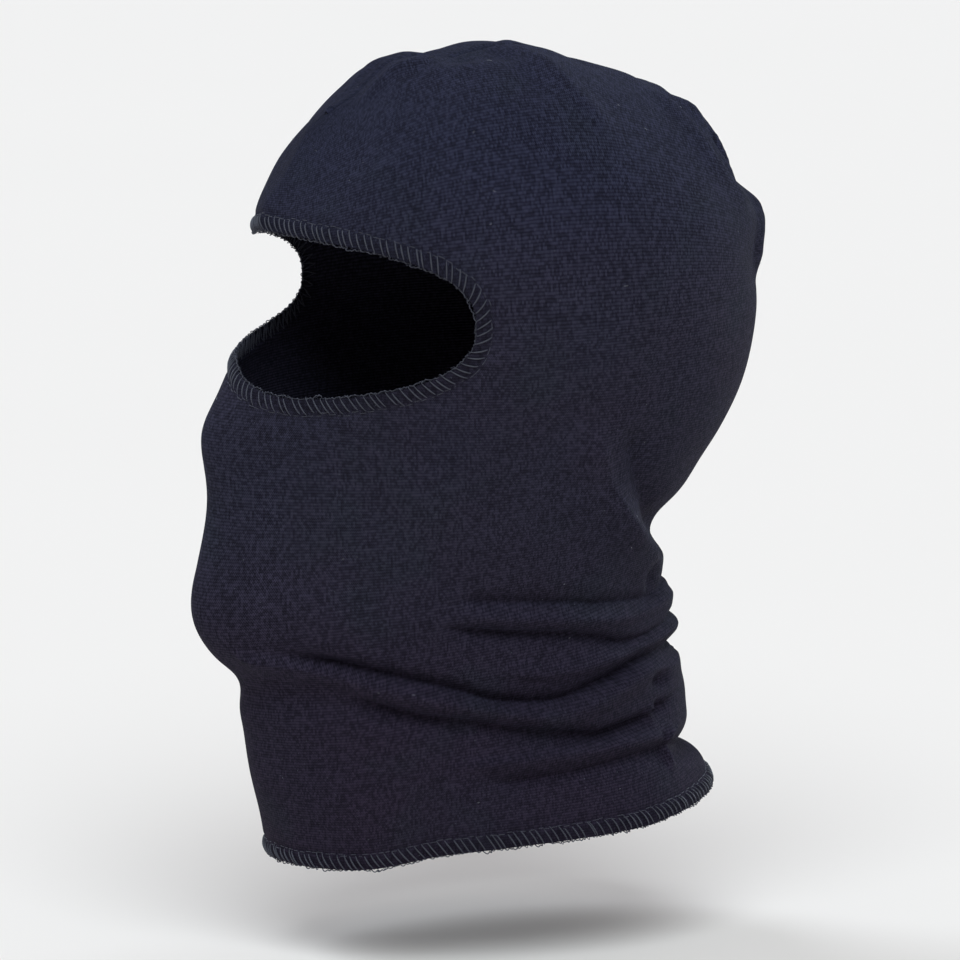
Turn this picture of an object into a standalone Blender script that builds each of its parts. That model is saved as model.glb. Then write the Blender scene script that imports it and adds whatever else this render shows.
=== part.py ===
"""Knitted balaclava with one face opening.

Metres, +Z up. The face looks along -Y and +X is the wearer's left. The origin is the top
of the wearer's crown, where the hood rests on the head.

The knit is one tube, sewn shut over the crown. It is modelled as four panels that meet at
narrow gaps, because the face cover and the neck can be pulled along against the hood. The
edges are overlocked with three threads: a needle thread and two loopers. Each looper is a
thin band here, as wide as its zigzag.
"""

import math
from collections import namedtuple

import bmesh
import bpy
from mathutils import Vector

# Cloth and clearances
KNIT = 0.0011
GAP = 0.0004
JAW_GAP = 0.04  # between the panels above and below the jaw, in stations
COLUMNS = 40  # facets round the tube
DOME_ROWS = 10
ROWS_PER_STATION = 2

# Crown: a dome over the ring at brow height
BASE_Z = -0.095
DOME_HEIGHT = 0.098
DOME_POWER = 2.35
DIP_DEPTH = 0.007
DIP_Y = 0.042
DIP_LENGTH = 0.025

# Crown seam, which runs in the plane x = 0
SEAM_FRONT = 0.069
SEAM_BACK = 0.097
SEAM_START = math.radians(14)
SEAM_END = math.radians(166)
SEAM_POINTS = 30
ALLOWANCE_TOP = KNIT + 0.0006
ALLOWANCE_HEIGHT = 0.006
ALLOWANCE_HALF_THICKNESS = 0.001

# Rings below the dome. front_z and back_z are the ring's heights at the front and the back,
# front, back and half_width its reach, and ridge how far nose and chin push it forward.
Station = namedtuple("Station", "front_z back_z front back half_width ridge ridge_width")
STATIONS = (
    Station(-0.095, -0.095, 0.0980, 0.1000, 0.0770, 0.0000, 0.028),  # brow
    Station(-0.120, -0.115, 0.0990, 0.0975, 0.0750, 0.0090, 0.028),
    Station(-0.137, -0.136, 0.1000, 0.0920, 0.0710, 0.0205, 0.028),  # tip of the nose
    Station(-0.156, -0.152, 0.0990, 0.0835, 0.0670, 0.0180, 0.030),
    Station(-0.179, -0.167, 0.0990, 0.0730, 0.0630, 0.0200, 0.032),
    Station(-0.202, -0.180, 0.1010, 0.0605, 0.0590, 0.0235, 0.035),  # chin
    Station(-0.220, -0.192, 0.1010, 0.0570, 0.0570, 0.0175, 0.035),  # nape
    Station(-0.232, -0.204, 0.1000, 0.0595, 0.0565, 0.0090, 0.035),
    Station(-0.244, -0.219, 0.0990, 0.0630, 0.0575, 0.0040, 0.035),
    Station(-0.265, -0.242, 0.0980, 0.0690, 0.0600, 0.0015, 0.035),
    Station(-0.3045, -0.280, 0.0910, 0.0840, 0.0650, 0.0000, 0.035),  # hem
)
JAW = 6.0  # level of the chin ring, where the hood ends and the neck begins
HEM = 11.0
HEM_BAND = 0.55  # height of the hem band, in stations

# Face opening: a rounded outline that reaches round to the temples. As worn it sits a little
# towards the wearer's left, where its edges also stand further from its middle.
OPENING_TURN = math.radians(4)
OPENING_HALF_ANGLE = math.radians(62)
OPENING_Z = -0.094
OPENING_POWER = 2.6
OPENING_UP_LEFT = 0.031
OPENING_UP_RIGHT = 0.027
UP_CHANGES = (math.radians(-25), math.radians(5))
OPENING_DOWN_LEFT = 0.029
OPENING_DOWN_RIGHT = 0.018
DOWN_CHANGES = (math.radians(-13), math.radians(22))
OPENING_POINTS = 84
CUTTER_REACH = 0.016
CUTTER_TIP = 0.045

# Face cover: the panel below the opening, in front of a plane along which it is pulled down
PULL_AXIS = Vector((0.0, -0.17, -0.985)).normalized()
CHEEK_Y = -0.062
CHEEK_Z = -0.115
COVER_TOP = -0.100
COVER_HALF_ANGLE = math.radians(63)
BLOCK_FRONT = -0.2
BLOCK_BOTTOM = -0.26
BLOCK_HALF_WIDTH = 0.12

# Overlock stitch
THREAD_RADIUS = 0.00025
THREAD_SIDES = 6
LOOPER_START = 0.0003
LOOPER_WIDTH = 0.0050
LOOPER_THICKNESS = 0.0005
NEEDLE_DISTANCE = 0.0058
OUTSIDE_GAP = 0.0009
INSIDE_GAP = 0.0011

# Care label, caught in the crown seam at the back
LABEL_START = math.radians(134)
LABEL_END = math.radians(152)
LABEL_POINTS = 3
LABEL_LENGTH = 0.025
LABEL_HALF_THICKNESS = 0.0003

SLOPE_STEP = 1e-3  # radians or levels, for reading slopes
HALVINGS = 40  # of the search for a height

KNIT_NAVY = (0.012, 0.014, 0.026, 1.0)
THREAD_BLUE = (0.045, 0.055, 0.080, 1.0)
LABEL_WHITE = (0.80, 0.80, 0.78, 1.0)


# ---- the surface -------------------------------------------------------------------------


def blend(values, place):
    """A smooth curve through the values, read at a fractional place."""
    last = len(values) - 1
    left = min(int(place), last - 1)
    f = place - left
    a, b, c, d = (values[min(max(left + k, 0), last)] for k in (-1, 0, 1, 2))
    return b + 0.5 * f * (c - a + f * (2 * a - 5 * b + 4 * c - d + f * (3 * (b - c) + d - a)))


def dome_point(angle, rise):
    """The point on the dome, from the seam (rise 0) to the brow ring (rise 1)."""
    brow = STATIONS[0]
    out = math.sin(0.5 * math.pi * rise)
    x = brow.half_width * math.sin(angle) * out
    front = math.cos(angle) > 0
    reach = brow.front if front else brow.back
    seam = SEAM_FRONT if front else SEAM_BACK
    y = -math.cos(angle) * (seam + (reach - seam) * out)
    radius = min(math.hypot(x / brow.half_width, y / reach), 1.0)
    dip = DIP_DEPTH * math.exp(-(((y - DIP_Y) / DIP_LENGTH) ** 2))
    z = BASE_Z + (DOME_HEIGHT - dip) * (1 - radius**DOME_POWER) ** (1 / DOME_POWER)
    return Vector((x, y, z))


def tube_point(angle, place):
    """The point on the tube below the dome, place counted in stations."""
    ring = Station(*(blend([s[k] for s in STATIONS], place) for k in range(len(STATIONS[0]))))
    forward = math.cos(angle)
    x = ring.half_width * math.sin(angle)
    y = -forward * (ring.front if forward > 0 else ring.back)
    if forward > 0:
        y -= ring.ridge * forward * math.exp(-((x / ring.ridge_width) ** 2))
    z = 0.5 * (ring.front_z + ring.back_z) + 0.5 * forward * (ring.front_z - ring.back_z)
    return Vector((x, y, z))


def surface(angle, level):
    """The outer face of the knit: level 0 is the seam, 1 the brow ring, HEM the hem."""
    return dome_point(angle, level) if level < 1 else tube_point(angle, level - 1)


def outward(angle, level):
    """The outward normal of the knit."""
    step = SLOPE_STEP
    level = min(max(level, step), HEM - step)
    round_it = surface(angle + step, level) - surface(angle - step, level)
    down = surface(angle, level + step) - surface(angle, level - step)
    return down.cross(round_it).normalized()


def level_at(angle, z):
    """The level at which the knit reaches height z."""
    high, low = 0.0, HEM
    for _ in range(HALVINGS):
        middle = 0.5 * (high + low)
        if surface(angle, middle).z > z:
            high = middle
        else:
            low = middle
    return 0.5 * (high + low)


# ---- mesh helpers ------------------------------------------------------------------------


def material(name, colour, roughness):
    made = bpy.data.materials.new(name)
    made.use_nodes = True
    shader = made.node_tree.nodes["Principled BSDF"]
    shader.inputs["Base Color"].default_value = colour
    shader.inputs["Roughness"].default_value = roughness
    shader.inputs["Metallic"].default_value = 0.0
    return made


def add_object(name, corners, faces, surface_material=None):
    """An object of these corners and faces, its faces turned outwards."""
    mesh = bpy.data.meshes.new(name)
    mesh.from_pydata([tuple(corner) for corner in corners], [], faces)
    shape = bmesh.new()
    shape.from_mesh(mesh)
    bmesh.ops.recalc_face_normals(shape, faces=shape.faces)
    shape.to_mesh(mesh)
    shape.free()
    mesh.shade_smooth()
    if surface_material:
        mesh.materials.append(surface_material)
    made = bpy.data.objects.new(name, mesh)
    bpy.context.scene.collection.objects.link(made)
    return made


def sweep(name, rings, closed, surface_material):
    """A bar through rings of corners, joined end to end or capped."""
    sides = len(rings[0])
    corners = [corner for ring in rings for corner in ring]
    faces = []
    for i in range(len(rings) if closed else len(rings) - 1):
        here, there = i * sides, (i + 1) % len(rings) * sides
        for k in range(sides):
            after = (k + 1) % sides
            faces.append((here + k, here + after, there + after, there + k))
    if not closed:
        faces.append(tuple(range(sides)))
        faces.append(tuple(range(len(corners) - sides, len(corners))))
    return add_object(name, corners, faces, surface_material)


def make_cutter(made):
    made.hide_render = True
    made.display_type = "WIRE"
    return made


def boolean(target, cutter, operation):
    modifier = target.modifiers.new(cutter.name, "BOOLEAN")
    modifier.operation = operation
    modifier.solver = "EXACT"
    modifier.object = cutter


# ---- knit panels -------------------------------------------------------------------------


def levels_between(start, end):
    """Levels of the rows from start to end, evenly spaced within the dome and the tube."""
    rows = []
    if start < 1:
        rows = [start + (1 - start) * k / DOME_ROWS for k in range(DOME_ROWS)]
    top = max(start, 1.0)
    count = max(round((end - top) * ROWS_PER_STATION), 2)
    return rows + [top + (end - top) * k / count for k in range(count + 1)]


def knit_panel(name, start, end, angles, surface_material):
    """A sheet of knit between two levels. It closes round when the angles are all columns."""
    levels = levels_between(start, end)
    corners, index = [], {}
    for row, level in enumerate(levels):
        for column, angle in enumerate(angles):
            mirror = (len(angles) - column) % len(angles)
            if level == 0 and (row, mirror) in index:
                index[row, column] = index[row, mirror]
                continue
            index[row, column] = len(corners)
            corners.append(surface(angle, level))
    count = len(angles) if len(angles) == COLUMNS else len(angles) - 1
    faces = []
    for row in range(len(levels) - 1):
        for column in range(count):
            after = (column + 1) % len(angles)
            faces.append(
                (
                    index[row, column],
                    index[row + 1, column],
                    index[row + 1, after],
                    index[row, after],
                )
            )
    panel = add_object(name, corners, faces, surface_material)
    thicken = panel.modifiers.new("thickness", "SOLIDIFY")
    thicken.thickness = KNIT
    thicken.offset = -1.0
    return panel


def all_columns():
    return [2 * math.pi * k / COLUMNS for k in range(COLUMNS)]


def front_columns():
    step = 2 * math.pi / COLUMNS
    reach = int(COVER_HALF_ANGLE / step)
    return [step * k for k in range(-reach, reach + 1)]


def cheek_y(z):
    """Where the plane between hood and face cover stands at height z."""
    return CHEEK_Y + (z - CHEEK_Z) * PULL_AXIS.y / PULL_AXIS.z


def face_block(name, grow):
    """The space of the face cover: in front of the cheek plane and below the opening's middle."""
    outline = (
        (cheek_y(COVER_TOP) + grow, COVER_TOP),
        (BLOCK_FRONT, COVER_TOP),
        (BLOCK_FRONT, BLOCK_BOTTOM),
        (cheek_y(BLOCK_BOTTOM) + grow, BLOCK_BOTTOM),
    )
    rings = [[Vector((x, y, z)) for y, z in outline] for x in (-BLOCK_HALF_WIDTH, BLOCK_HALF_WIDTH)]
    return make_cutter(sweep(name, rings, False, None))


# ---- face opening ------------------------------------------------------------------------


def change_over(angle, ends, right, left):
    """A value that changes smoothly from right to left between the two end angles."""
    part = min(max((angle - ends[0]) / (ends[1] - ends[0]), 0.0), 1.0)
    return right + (left - right) * part * part * (3 - 2 * part)


def opening_place(turn):
    """Angle and level of the opening's edge. A turn of 0 is the corner on the wearer's left."""
    across, up = math.cos(turn), math.sin(turn)
    power = 2 / OPENING_POWER
    angle = OPENING_TURN + OPENING_HALF_ANGLE * math.copysign(abs(across) ** power, across)
    if up > 0:
        height = change_over(angle, UP_CHANGES, OPENING_UP_RIGHT, OPENING_UP_LEFT)
    else:
        height = change_over(angle, DOWN_CHANGES, OPENING_DOWN_RIGHT, OPENING_DOWN_LEFT)
    z = OPENING_Z + height * math.copysign(abs(up) ** power, up)
    return angle, level_at(angle, z)


def beside_edge(angle, level, away):
    """A function from a distance off the edge, along the knit, and a height to a point."""
    step = SLOPE_STEP
    round_it = (surface(angle + step, level) - surface(angle - step, level)) / (2 * step)
    level_inside = min(level, HEM - step)
    down = surface(angle, level_inside + step) - surface(angle, level_inside - step)
    down /= 2 * step
    size = round_it.dot(round_it) * down.dot(down) - round_it.dot(down) ** 2
    turn = (away.dot(round_it) * down.dot(down) - away.dot(down) * round_it.dot(down)) / size
    drop = (away.dot(down) * round_it.dot(round_it) - away.dot(round_it) * round_it.dot(down)) / size

    def at(distance, height):
        place = angle + turn * distance, level + drop * distance
        return surface(*place) + height * outward(*place)

    return at


def opening_edge():
    """The walks away from the opening, from points all round its edge."""
    places = [opening_place(2 * math.pi * k / OPENING_POINTS) for k in range(OPENING_POINTS)]
    points = [surface(*place) for place in places]
    walks = []
    for k, place in enumerate(places):
        along = points[(k + 1) % OPENING_POINTS] - points[k - 1]
        walks.append(beside_edge(*place, along.cross(outward(*place)).normalized()))
    return walks


def opening_cutter(edge):
    """A plug through the knit, as wide as the opening and pointed at both ends."""
    inner = [at(0.0, -CUTTER_REACH) for at in edge]
    outer = [at(0.0, CUTTER_REACH) for at in edge]
    count = len(edge)
    middle = Vector((0.0, -STATIONS[0].front, OPENING_Z))
    tips = [middle + Vector((0, CUTTER_TIP, 0)), middle - Vector((0, CUTTER_TIP, 0))]
    faces = []
    for k in range(count):
        after = (k + 1) % count
        faces.append((k, after, count + after, count + k))
        faces.append((after, k, 2 * count))
        faces.append((count + k, count + after, 2 * count + 1))
    return make_cutter(add_object("opening_cutter", inner + outer + tips, faces))


# ---- overlock threads --------------------------------------------------------------------


def band_ring(at, near, far, low, high):
    """A rectangle: near and far are distances off an edge, low and high heights."""
    return [at(near, low), at(far, low), at(far, high), at(near, high)]


def thread_ring(at, distance, height):
    """A small round section of thread at this distance and height."""
    turns = [2 * math.pi * k / THREAD_SIDES for k in range(THREAD_SIDES)]
    return [
        at(distance + THREAD_RADIUS * math.cos(turn), height + THREAD_RADIUS * math.sin(turn))
        for turn in turns
    ]


def in_cover(ring):
    """True where the whole ring lies inside the face cover's space."""
    return all(p.y < cheek_y(p.z) - GAP and p.z < COVER_TOP for p in ring)


def in_hood(ring):
    return all(p.y > cheek_y(p.z) + GAP or p.z > COVER_TOP for p in ring)


def kept_run(rings, test):
    """The unbroken run of rings that pass the test, round a closed edge."""
    count = len(rings)
    start = next(k for k in range(count) if test(rings[k]) and not test(rings[k - 1]))
    run = []
    for k in range(count):
        ring = rings[(start + k) % count]
        if not test(ring):
            break
        run.append(ring)
    return run


def overlock_rings(edge):
    """The rings of the needle thread, the outer looper and the inner looper."""
    near, far = LOOPER_START, LOOPER_START + LOOPER_WIDTH
    outside, inside = OUTSIDE_GAP, -KNIT - INSIDE_GAP
    thick = LOOPER_THICKNESS
    return {
        "needle_thread": [
            thread_ring(at, NEEDLE_DISTANCE, outside + THREAD_RADIUS) for at in edge
        ],
        "outer_looper_thread": [
            band_ring(at, near, far, outside, outside + thick) for at in edge
        ],
        "inner_looper_thread": [
            band_ring(at, near, far, inside - thick, inside) for at in edge
        ],
    }


def hem_edge():
    """The walks up the knit from the hem."""
    walks = []
    for angle in all_columns():
        up = (surface(angle, HEM - HEM_BAND) - surface(angle, HEM)).normalized()
        walks.append(beside_edge(angle, HEM, up))
    return walks


# ---- crown seam --------------------------------------------------------------------------


def beside_seam(angle):
    """A function from a sideways distance and a height above the seam to a point."""
    along = surface(angle + SLOPE_STEP, 0.0) - surface(angle - SLOPE_STEP, 0.0)
    side = Vector((1.0, 0.0, 0.0))
    normal = side.cross(along).normalized()

    def at(sideways, height):
        return surface(angle, 0.0) + side * sideways + normal * height

    return at


def seam_line(start, end, count):
    return [beside_seam(start + (end - start) * k / count) for k in range(count + 1)]


def crown_seam(thread, knit):
    """The two raw edges inside the crown, sewn together and overlocked."""
    line = seam_line(SEAM_START, SEAM_END, SEAM_POINTS)
    wall = ALLOWANCE_HALF_THICKNESS
    bottom = -ALLOWANCE_TOP - ALLOWANCE_HEIGHT
    near, far = wall + GAP, wall + GAP + LOOPER_THICKNESS
    needle_height = -ALLOWANCE_TOP - 2 * THREAD_RADIUS
    looper_top = needle_height - 3 * THREAD_RADIUS
    allowance = [band_ring(at, -wall, wall, bottom, -ALLOWANCE_TOP) for at in line]
    left = [band_ring(at, near, far, bottom, looper_top) for at in line]
    right = [band_ring(at, -far, -near, bottom, looper_top) for at in line]
    needle = [thread_ring(at, near + THREAD_RADIUS, needle_height) for at in line]
    sweep("crown_seam_allowance", allowance, False, knit)
    sweep("crown_seam_left_looper_thread", left, False, thread)
    sweep("crown_seam_right_looper_thread", right, False, thread)
    sweep("crown_seam_needle_thread", needle, False, thread)


def care_label(label):
    """A blank tag that hangs in the plane of the seam."""
    top = -ALLOWANCE_TOP - ALLOWANCE_HEIGHT - GAP
    half = LABEL_HALF_THICKNESS
    line = seam_line(LABEL_START, LABEL_END, LABEL_POINTS)
    rings = [band_ring(at, -half, half, top - LABEL_LENGTH, top) for at in line]
    sweep("care_label", rings, False, label)


# ---- assembly ----------------------------------------------------------------------------


def slide_empty(name, location, pieces):
    """An empty on a slide's axis, carrying the pieces that move along it."""
    empty = bpy.data.objects.new(name, None)
    empty.location = location
    bpy.context.scene.collection.objects.link(empty)
    for piece in pieces:
        piece.parent = empty
        piece.matrix_parent_inverse.translation = -Vector(location)


def build():
    for old in list(bpy.data.objects):
        bpy.data.objects.remove(old)
    knit = material("navy_knit", KNIT_NAVY, 0.92)
    thread = material("navy_thread", THREAD_BLUE, 0.65)
    label = material("label_satin", LABEL_WHITE, 0.55)

    edge = opening_edge()
    opening = opening_cutter(edge)

    hood = knit_panel("hood_knit", 0.0, JAW, all_columns(), knit)
    boolean(hood, face_block("hood_face_block", GAP), "DIFFERENCE")
    boolean(hood, opening, "DIFFERENCE")

    cover = knit_panel("face_cover_knit", 1.0, JAW, front_columns(), knit)
    boolean(cover, face_block("cover_face_block", 0.0), "INTERSECT")
    boolean(cover, opening, "DIFFERENCE")
    cover_pieces = [cover]
    for kind, rings in overlock_rings(edge).items():
        sweep("eye_opening_" + kind, kept_run(rings, in_hood), False, thread)
        cover_run = kept_run(rings, in_cover)
        cover_pieces.append(sweep("face_cover_" + kind, cover_run, False, thread))
    slide_empty("face_cover_pull", (0.0, CHEEK_Y, CHEEK_Z), cover_pieces)

    band = HEM - HEM_BAND
    folds = knit_panel("neck_folds_knit", JAW + JAW_GAP, band, all_columns(), knit)
    hem = knit_panel("neck_hem_knit", band + 0.5 * JAW_GAP, HEM, all_columns(), knit)
    neck_pieces = [folds, hem]
    for kind, rings in overlock_rings(hem_edge()).items():
        neck_pieces.append(sweep("hem_" + kind, rings, True, thread))
    slide_empty("neck_slide", (0.0, 0.0, STATIONS[-1].front_z), neck_pieces)

    crown_seam(thread, knit)
    care_label(label)


build()
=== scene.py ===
"""The looks of a knitted balaclava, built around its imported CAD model.

Metres, +Z up, the face along -Y and the wearer's left along +X, as in the CAD.

The cloth is one fine sheet. Its shape is read from the CAD panels with rays, smoothed, and
given its folds, and then it is cut into three pieces: the crown, the face and the neck. Each
piece has an outer side, an inner side and rims. Overlock threads, the seam allowance inside
the crown, a blank care label and lint lie on the sheet, in its own columns and rows.
"""

import math
from collections import namedtuple

import bpy
import numpy as np
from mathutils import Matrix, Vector
from mathutils.bvhtree import BVHTree


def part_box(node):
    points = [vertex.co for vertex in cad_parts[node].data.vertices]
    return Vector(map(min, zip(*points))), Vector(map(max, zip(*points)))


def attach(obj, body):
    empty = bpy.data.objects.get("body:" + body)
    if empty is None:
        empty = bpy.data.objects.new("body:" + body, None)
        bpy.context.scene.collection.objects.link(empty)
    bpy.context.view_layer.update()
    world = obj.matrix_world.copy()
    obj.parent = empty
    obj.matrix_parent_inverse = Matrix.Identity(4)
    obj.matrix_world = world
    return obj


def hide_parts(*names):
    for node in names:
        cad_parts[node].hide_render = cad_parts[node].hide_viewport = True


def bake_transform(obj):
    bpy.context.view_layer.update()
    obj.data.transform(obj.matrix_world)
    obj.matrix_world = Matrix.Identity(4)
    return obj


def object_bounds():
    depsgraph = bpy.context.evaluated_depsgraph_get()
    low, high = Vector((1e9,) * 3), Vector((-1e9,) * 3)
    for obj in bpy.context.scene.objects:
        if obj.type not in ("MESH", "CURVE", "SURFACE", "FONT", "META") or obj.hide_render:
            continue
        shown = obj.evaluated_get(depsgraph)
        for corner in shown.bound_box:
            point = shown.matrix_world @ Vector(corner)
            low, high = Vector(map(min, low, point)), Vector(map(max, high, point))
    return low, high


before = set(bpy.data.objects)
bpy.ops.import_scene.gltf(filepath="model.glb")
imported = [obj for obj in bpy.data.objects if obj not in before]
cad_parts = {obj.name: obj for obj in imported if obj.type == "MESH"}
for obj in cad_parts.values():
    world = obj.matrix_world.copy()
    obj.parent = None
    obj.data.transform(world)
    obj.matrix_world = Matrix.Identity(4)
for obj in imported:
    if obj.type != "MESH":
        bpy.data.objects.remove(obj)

CAD_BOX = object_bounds()
MM = 0.001

# ---- the sheet's grid ----
COLUMNS = 40  # rays round the tube, as many as the CAD has facets
DOME_ROWS = 30  # from the crown seam to the brow
TUBE_ROWS = 40  # from the brow to the hem
ROWS = DOME_ROWS + TUBE_ROWS
FINE_COLUMNS = 9  # columns of the sheet for each ray
FINE_ROWS = 4  # rows of the sheet for each ray, above the gathered neck
CLOSE_ROWS = 8  # rows of the sheet for each ray, in the gathered neck
GATHER_START = 51  # the ray row where the gathered neck starts
CLOSE_START = GATHER_START * FINE_ROWS
SHEET_COLUMNS = COLUMNS * FINE_COLUMNS
SHEET_ROWS = CLOSE_START + (ROWS - GATHER_START) * CLOSE_ROWS
BROW_ROW = DOME_ROWS * FINE_ROWS
CROWN_END = BROW_ROW + 7  # where the crown's piece ends, level with the opening
NECK_ROW = CLOSE_START + 60  # where the neck's piece begins
BAND_ROW = SHEET_ROWS - 32  # only below it does the hem's overlocked band reach the cloth
GHOSTS = 2  # rows kept beyond each end of a grid, for reading between rows
HEM_MARGIN = 0.25  # the last rays meet the cloth this share of a row above the hem
TILT_START, TILT_END = 0.2, 0.6  # shares of the tube over which its rings tip to the hem's tilt

THICKNESS = 1.1 * MM
WALES = 800
COURSE = 1.05 * MM

# ---- joints ----
PULL_UP = 0.71  # how much height counts against reach in the direction of the face cover's pull

# ---- overlock ----
PITCH = 2.85 * MM
NEEDLE = 5.6 * MM  # from the edge to the needle line
THREAD = 0.26 * MM  # radius where a looper thread is fullest
SLENDER, FULLER = 0.5, 0.5  # the share of it everywhere, and the share added halfway across the band
THREAD_SIDES = 6

RNG = np.random.default_rng(11)


# ---- small helpers ----


def ease(value):
    value = np.clip(value, 0.0, 1.0)
    return value * value * (3 - 2 * value)


def bump(offset, width):
    return np.exp(-((offset / width) ** 2))


def unit(vectors):
    return vectors / np.maximum(np.linalg.norm(vectors, axis=-1, keepdims=True), 1e-12)


def lengths_along(path):
    """The length along a path at each of its points."""
    return np.concatenate([[0], np.cumsum(np.linalg.norm(np.diff(path, axis=0), axis=1))])


def corners_of(node):
    return np.array([v.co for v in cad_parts[node].data.vertices], float)


# ---- reading the CAD ----

Sizes = namedtuple(
    "Sizes", "half_width front back height brow_z seam_front seam_back hem_z hem_tilt"
)
KNIT_NODES = ("hood_knit", "face_cover_knit", "neck_folds_knit", "neck_hem_knit")
NEAREST_SHARE = 0.2  # a ray that meets something closer to its middle has met no cloth


def read_sizes():
    hood = corners_of("hood_knit")
    hem = corners_of("neck_hem_knit")
    brow_z = hood[hood[:, 0].argmax(), 2]
    seam_low, seam_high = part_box("crown_seam_allowance")
    hem_front = hem[hem[:, 2].argmin()]
    hem_back = hem[hem[:, 1].argmax()]
    tilt = (hem_back[2] - hem_front[2]) / (hem_back[1] - hem_front[1])
    return Sizes(
        half_width=hood[:, 0].max(),
        front=-hood[:, 1].min(),
        back=hood[:, 1].max(),
        height=hood[:, 2].max() - brow_z,
        brow_z=brow_z,
        seam_front=-seam_low.y,
        seam_back=seam_high.y,
        hem_z=hem_front[2] - tilt * hem_front[1],
        hem_tilt=tilt,
    )


def knit_tree():
    """The CAD's knit panels as one tree for rays."""
    corners, faces = [], []
    for name in KNIT_NODES:
        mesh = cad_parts[name].data
        first = len(corners)
        corners += [v.co.copy() for v in mesh.vertices]
        faces += [[first + k for k in polygon.vertices] for polygon in mesh.polygons]
    return BVHTree.FromPolygons(corners, faces)


def rays(size, angle, row):
    """Middle and reach of the rays at these angles and rows. Angle 0 is the front."""
    angle, row = np.broadcast_arrays(angle, row)
    forward = np.cos(angle)
    reach = np.where(forward > 0, size.front, size.back)
    seam = np.where(forward > 0, size.seam_front, size.seam_back)
    out = np.sin(0.5 * np.pi * np.clip(row / DOME_ROWS, 0, 1))
    x = size.half_width * np.sin(angle) * out
    y = -forward * (seam + (reach - seam) * out)
    rise = 1 - (x / size.half_width) ** 2 - (y / reach) ** 2
    up = size.height * np.sqrt(np.clip(rise, 0, 1))
    share = np.clip((row - DOME_ROWS) / TUBE_ROWS, 0, 1)
    tilt = size.hem_tilt * ease((share - TILT_START) / (TILT_END - TILT_START))
    up = np.where(row < DOME_ROWS, up, tilt * y)
    middle_z = size.brow_z + share * (size.hem_z - size.brow_z)
    middle = np.stack([0 * x, 0 * x, middle_z], -1)
    return middle, np.stack([x, y, up], -1)


def cloth_share(tree, size, angle, row):
    """How far along its ray the cloth lies, or NaN where the ray meets none."""
    middle, reach = rays(size, angle, row)
    hit = tree.ray_cast(Vector(middle + 2 * reach), Vector(-reach))[0]
    if hit is None:
        return math.nan
    share = (np.array(hit) - middle) @ reach / (reach @ reach)
    return share if share > NEAREST_SHARE else math.nan


def read_shares(tree, size):
    shares = np.empty((ROWS + 1, COLUMNS))
    for row in range(ROWS + 1):
        for column in range(COLUMNS):
            angle = 2 * math.pi * column / COLUMNS
            shares[row, column] = cloth_share(tree, size, angle, min(row, ROWS - HEM_MARGIN))
    shares[ROWS] += (shares[ROWS] - shares[ROWS - 1]) * HEM_MARGIN / (1 - HEM_MARGIN)
    return shares


def bridged(shares):
    """The shares with the missing ones filled in as smoothly as can be."""
    missing = np.isnan(shares)
    index = np.full(shares.shape, -1)
    index[missing] = np.arange(missing.sum())
    lines, values = [], []
    for row in range(1, ROWS):
        for column in range(COLUMNS):
            for down, across in ((1, 0), (0, 1)):
                cells = [
                    ((row + k * down), (column + k * across) % COLUMNS) for k in (-1, 0, 1)
                ]
                if not any(missing[cell] for cell in cells):
                    continue
                line = np.zeros(missing.sum())
                value = 0.0
                for cell, factor in zip(cells, (1, -2, 1)):
                    if missing[cell]:
                        line[index[cell]] = factor
                    else:
                        value -= factor * shares[cell]
                lines.append(line)
                values.append(value)
    filled = shares.copy()
    filled[missing] = np.linalg.lstsq(np.array(lines), np.array(values), rcond=None)[0]
    return filled


# ---- grids ----


def with_ghosts(grid):
    """The grid with rows beyond its ends: the far side over the seam, and past the hem."""
    count = grid.shape[1]
    mirrored = (-np.arange(count)) % count
    above = grid[GHOSTS:0:-1][:, mirrored]
    slope = grid[-1] - grid[-2]
    below = np.stack([grid[-1] + slope * (k + 1) for k in range(GHOSTS)])
    return np.concatenate([above, grid, below])


def curve_weights(f):
    return (
        0.5 * (-f + 2 * f**2 - f**3),
        0.5 * (2 - 5 * f**2 + 3 * f**3),
        0.5 * (f + 4 * f**2 - 3 * f**3),
        0.5 * (-(f**2) + f**3),
    )


def read(grid, column, row):
    """Smooth values between a grid's columns and rows. The grid has its ghost rows."""
    column, row = np.broadcast_arrays(column, row)
    left = np.floor(column).astype(int)
    last = len(grid) - 1 - 2 * GHOSTS
    top = np.clip(np.floor(row).astype(int), 0, last)
    across, down = curve_weights(column - left), curve_weights(row - top)
    total = 0
    for a in range(4):
        for b in range(4):
            value = grid[top + a - 1 + GHOSTS, (left + b - 1) % grid.shape[1]]
            weight = down[a] * across[b]
            total = total + value * (weight[..., None] if value.ndim > weight.ndim else weight)
    return total


def smoothed_rows(grid):
    """The grid averaged down its rows, which takes the CAD's facets away."""
    longer = with_ghosts(grid)
    count = len(grid)
    kernel = (1 / 12, 3 / 12, 4 / 12, 3 / 12, 1 / 12)
    return sum(weight * longer[k : k + count] for k, weight in enumerate(kernel))


def grid_normals(points):
    longer = with_ghosts(points)[GHOSTS - 1 : 1 - GHOSTS]
    down = longer[2:] - longer[:-2]
    across = np.roll(points, -1, 1) - np.roll(points, 1, 1)
    normals = unit(np.cross(down, across))
    count = points.shape[1]
    mirrored = (-np.arange(count)) % count
    normals[0] = unit(normals[0] + normals[0][mirrored] * [-1, 1, 1] + normals[0][mirrored])
    normals[0, :, 0] = 0
    normals[0] = unit(normals[0])
    for end in (0, count // 2):  # the ends of the seam, where both sides meet in one point
        beside = sum(normals[0, (end + k) % count] for k in (-3, -2, -1, 1, 2, 3))
        normals[0, end] = unit(beside + normals[1, end] + normals[2, end])
    return normals


# ---- folds and wrinkles ----

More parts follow.
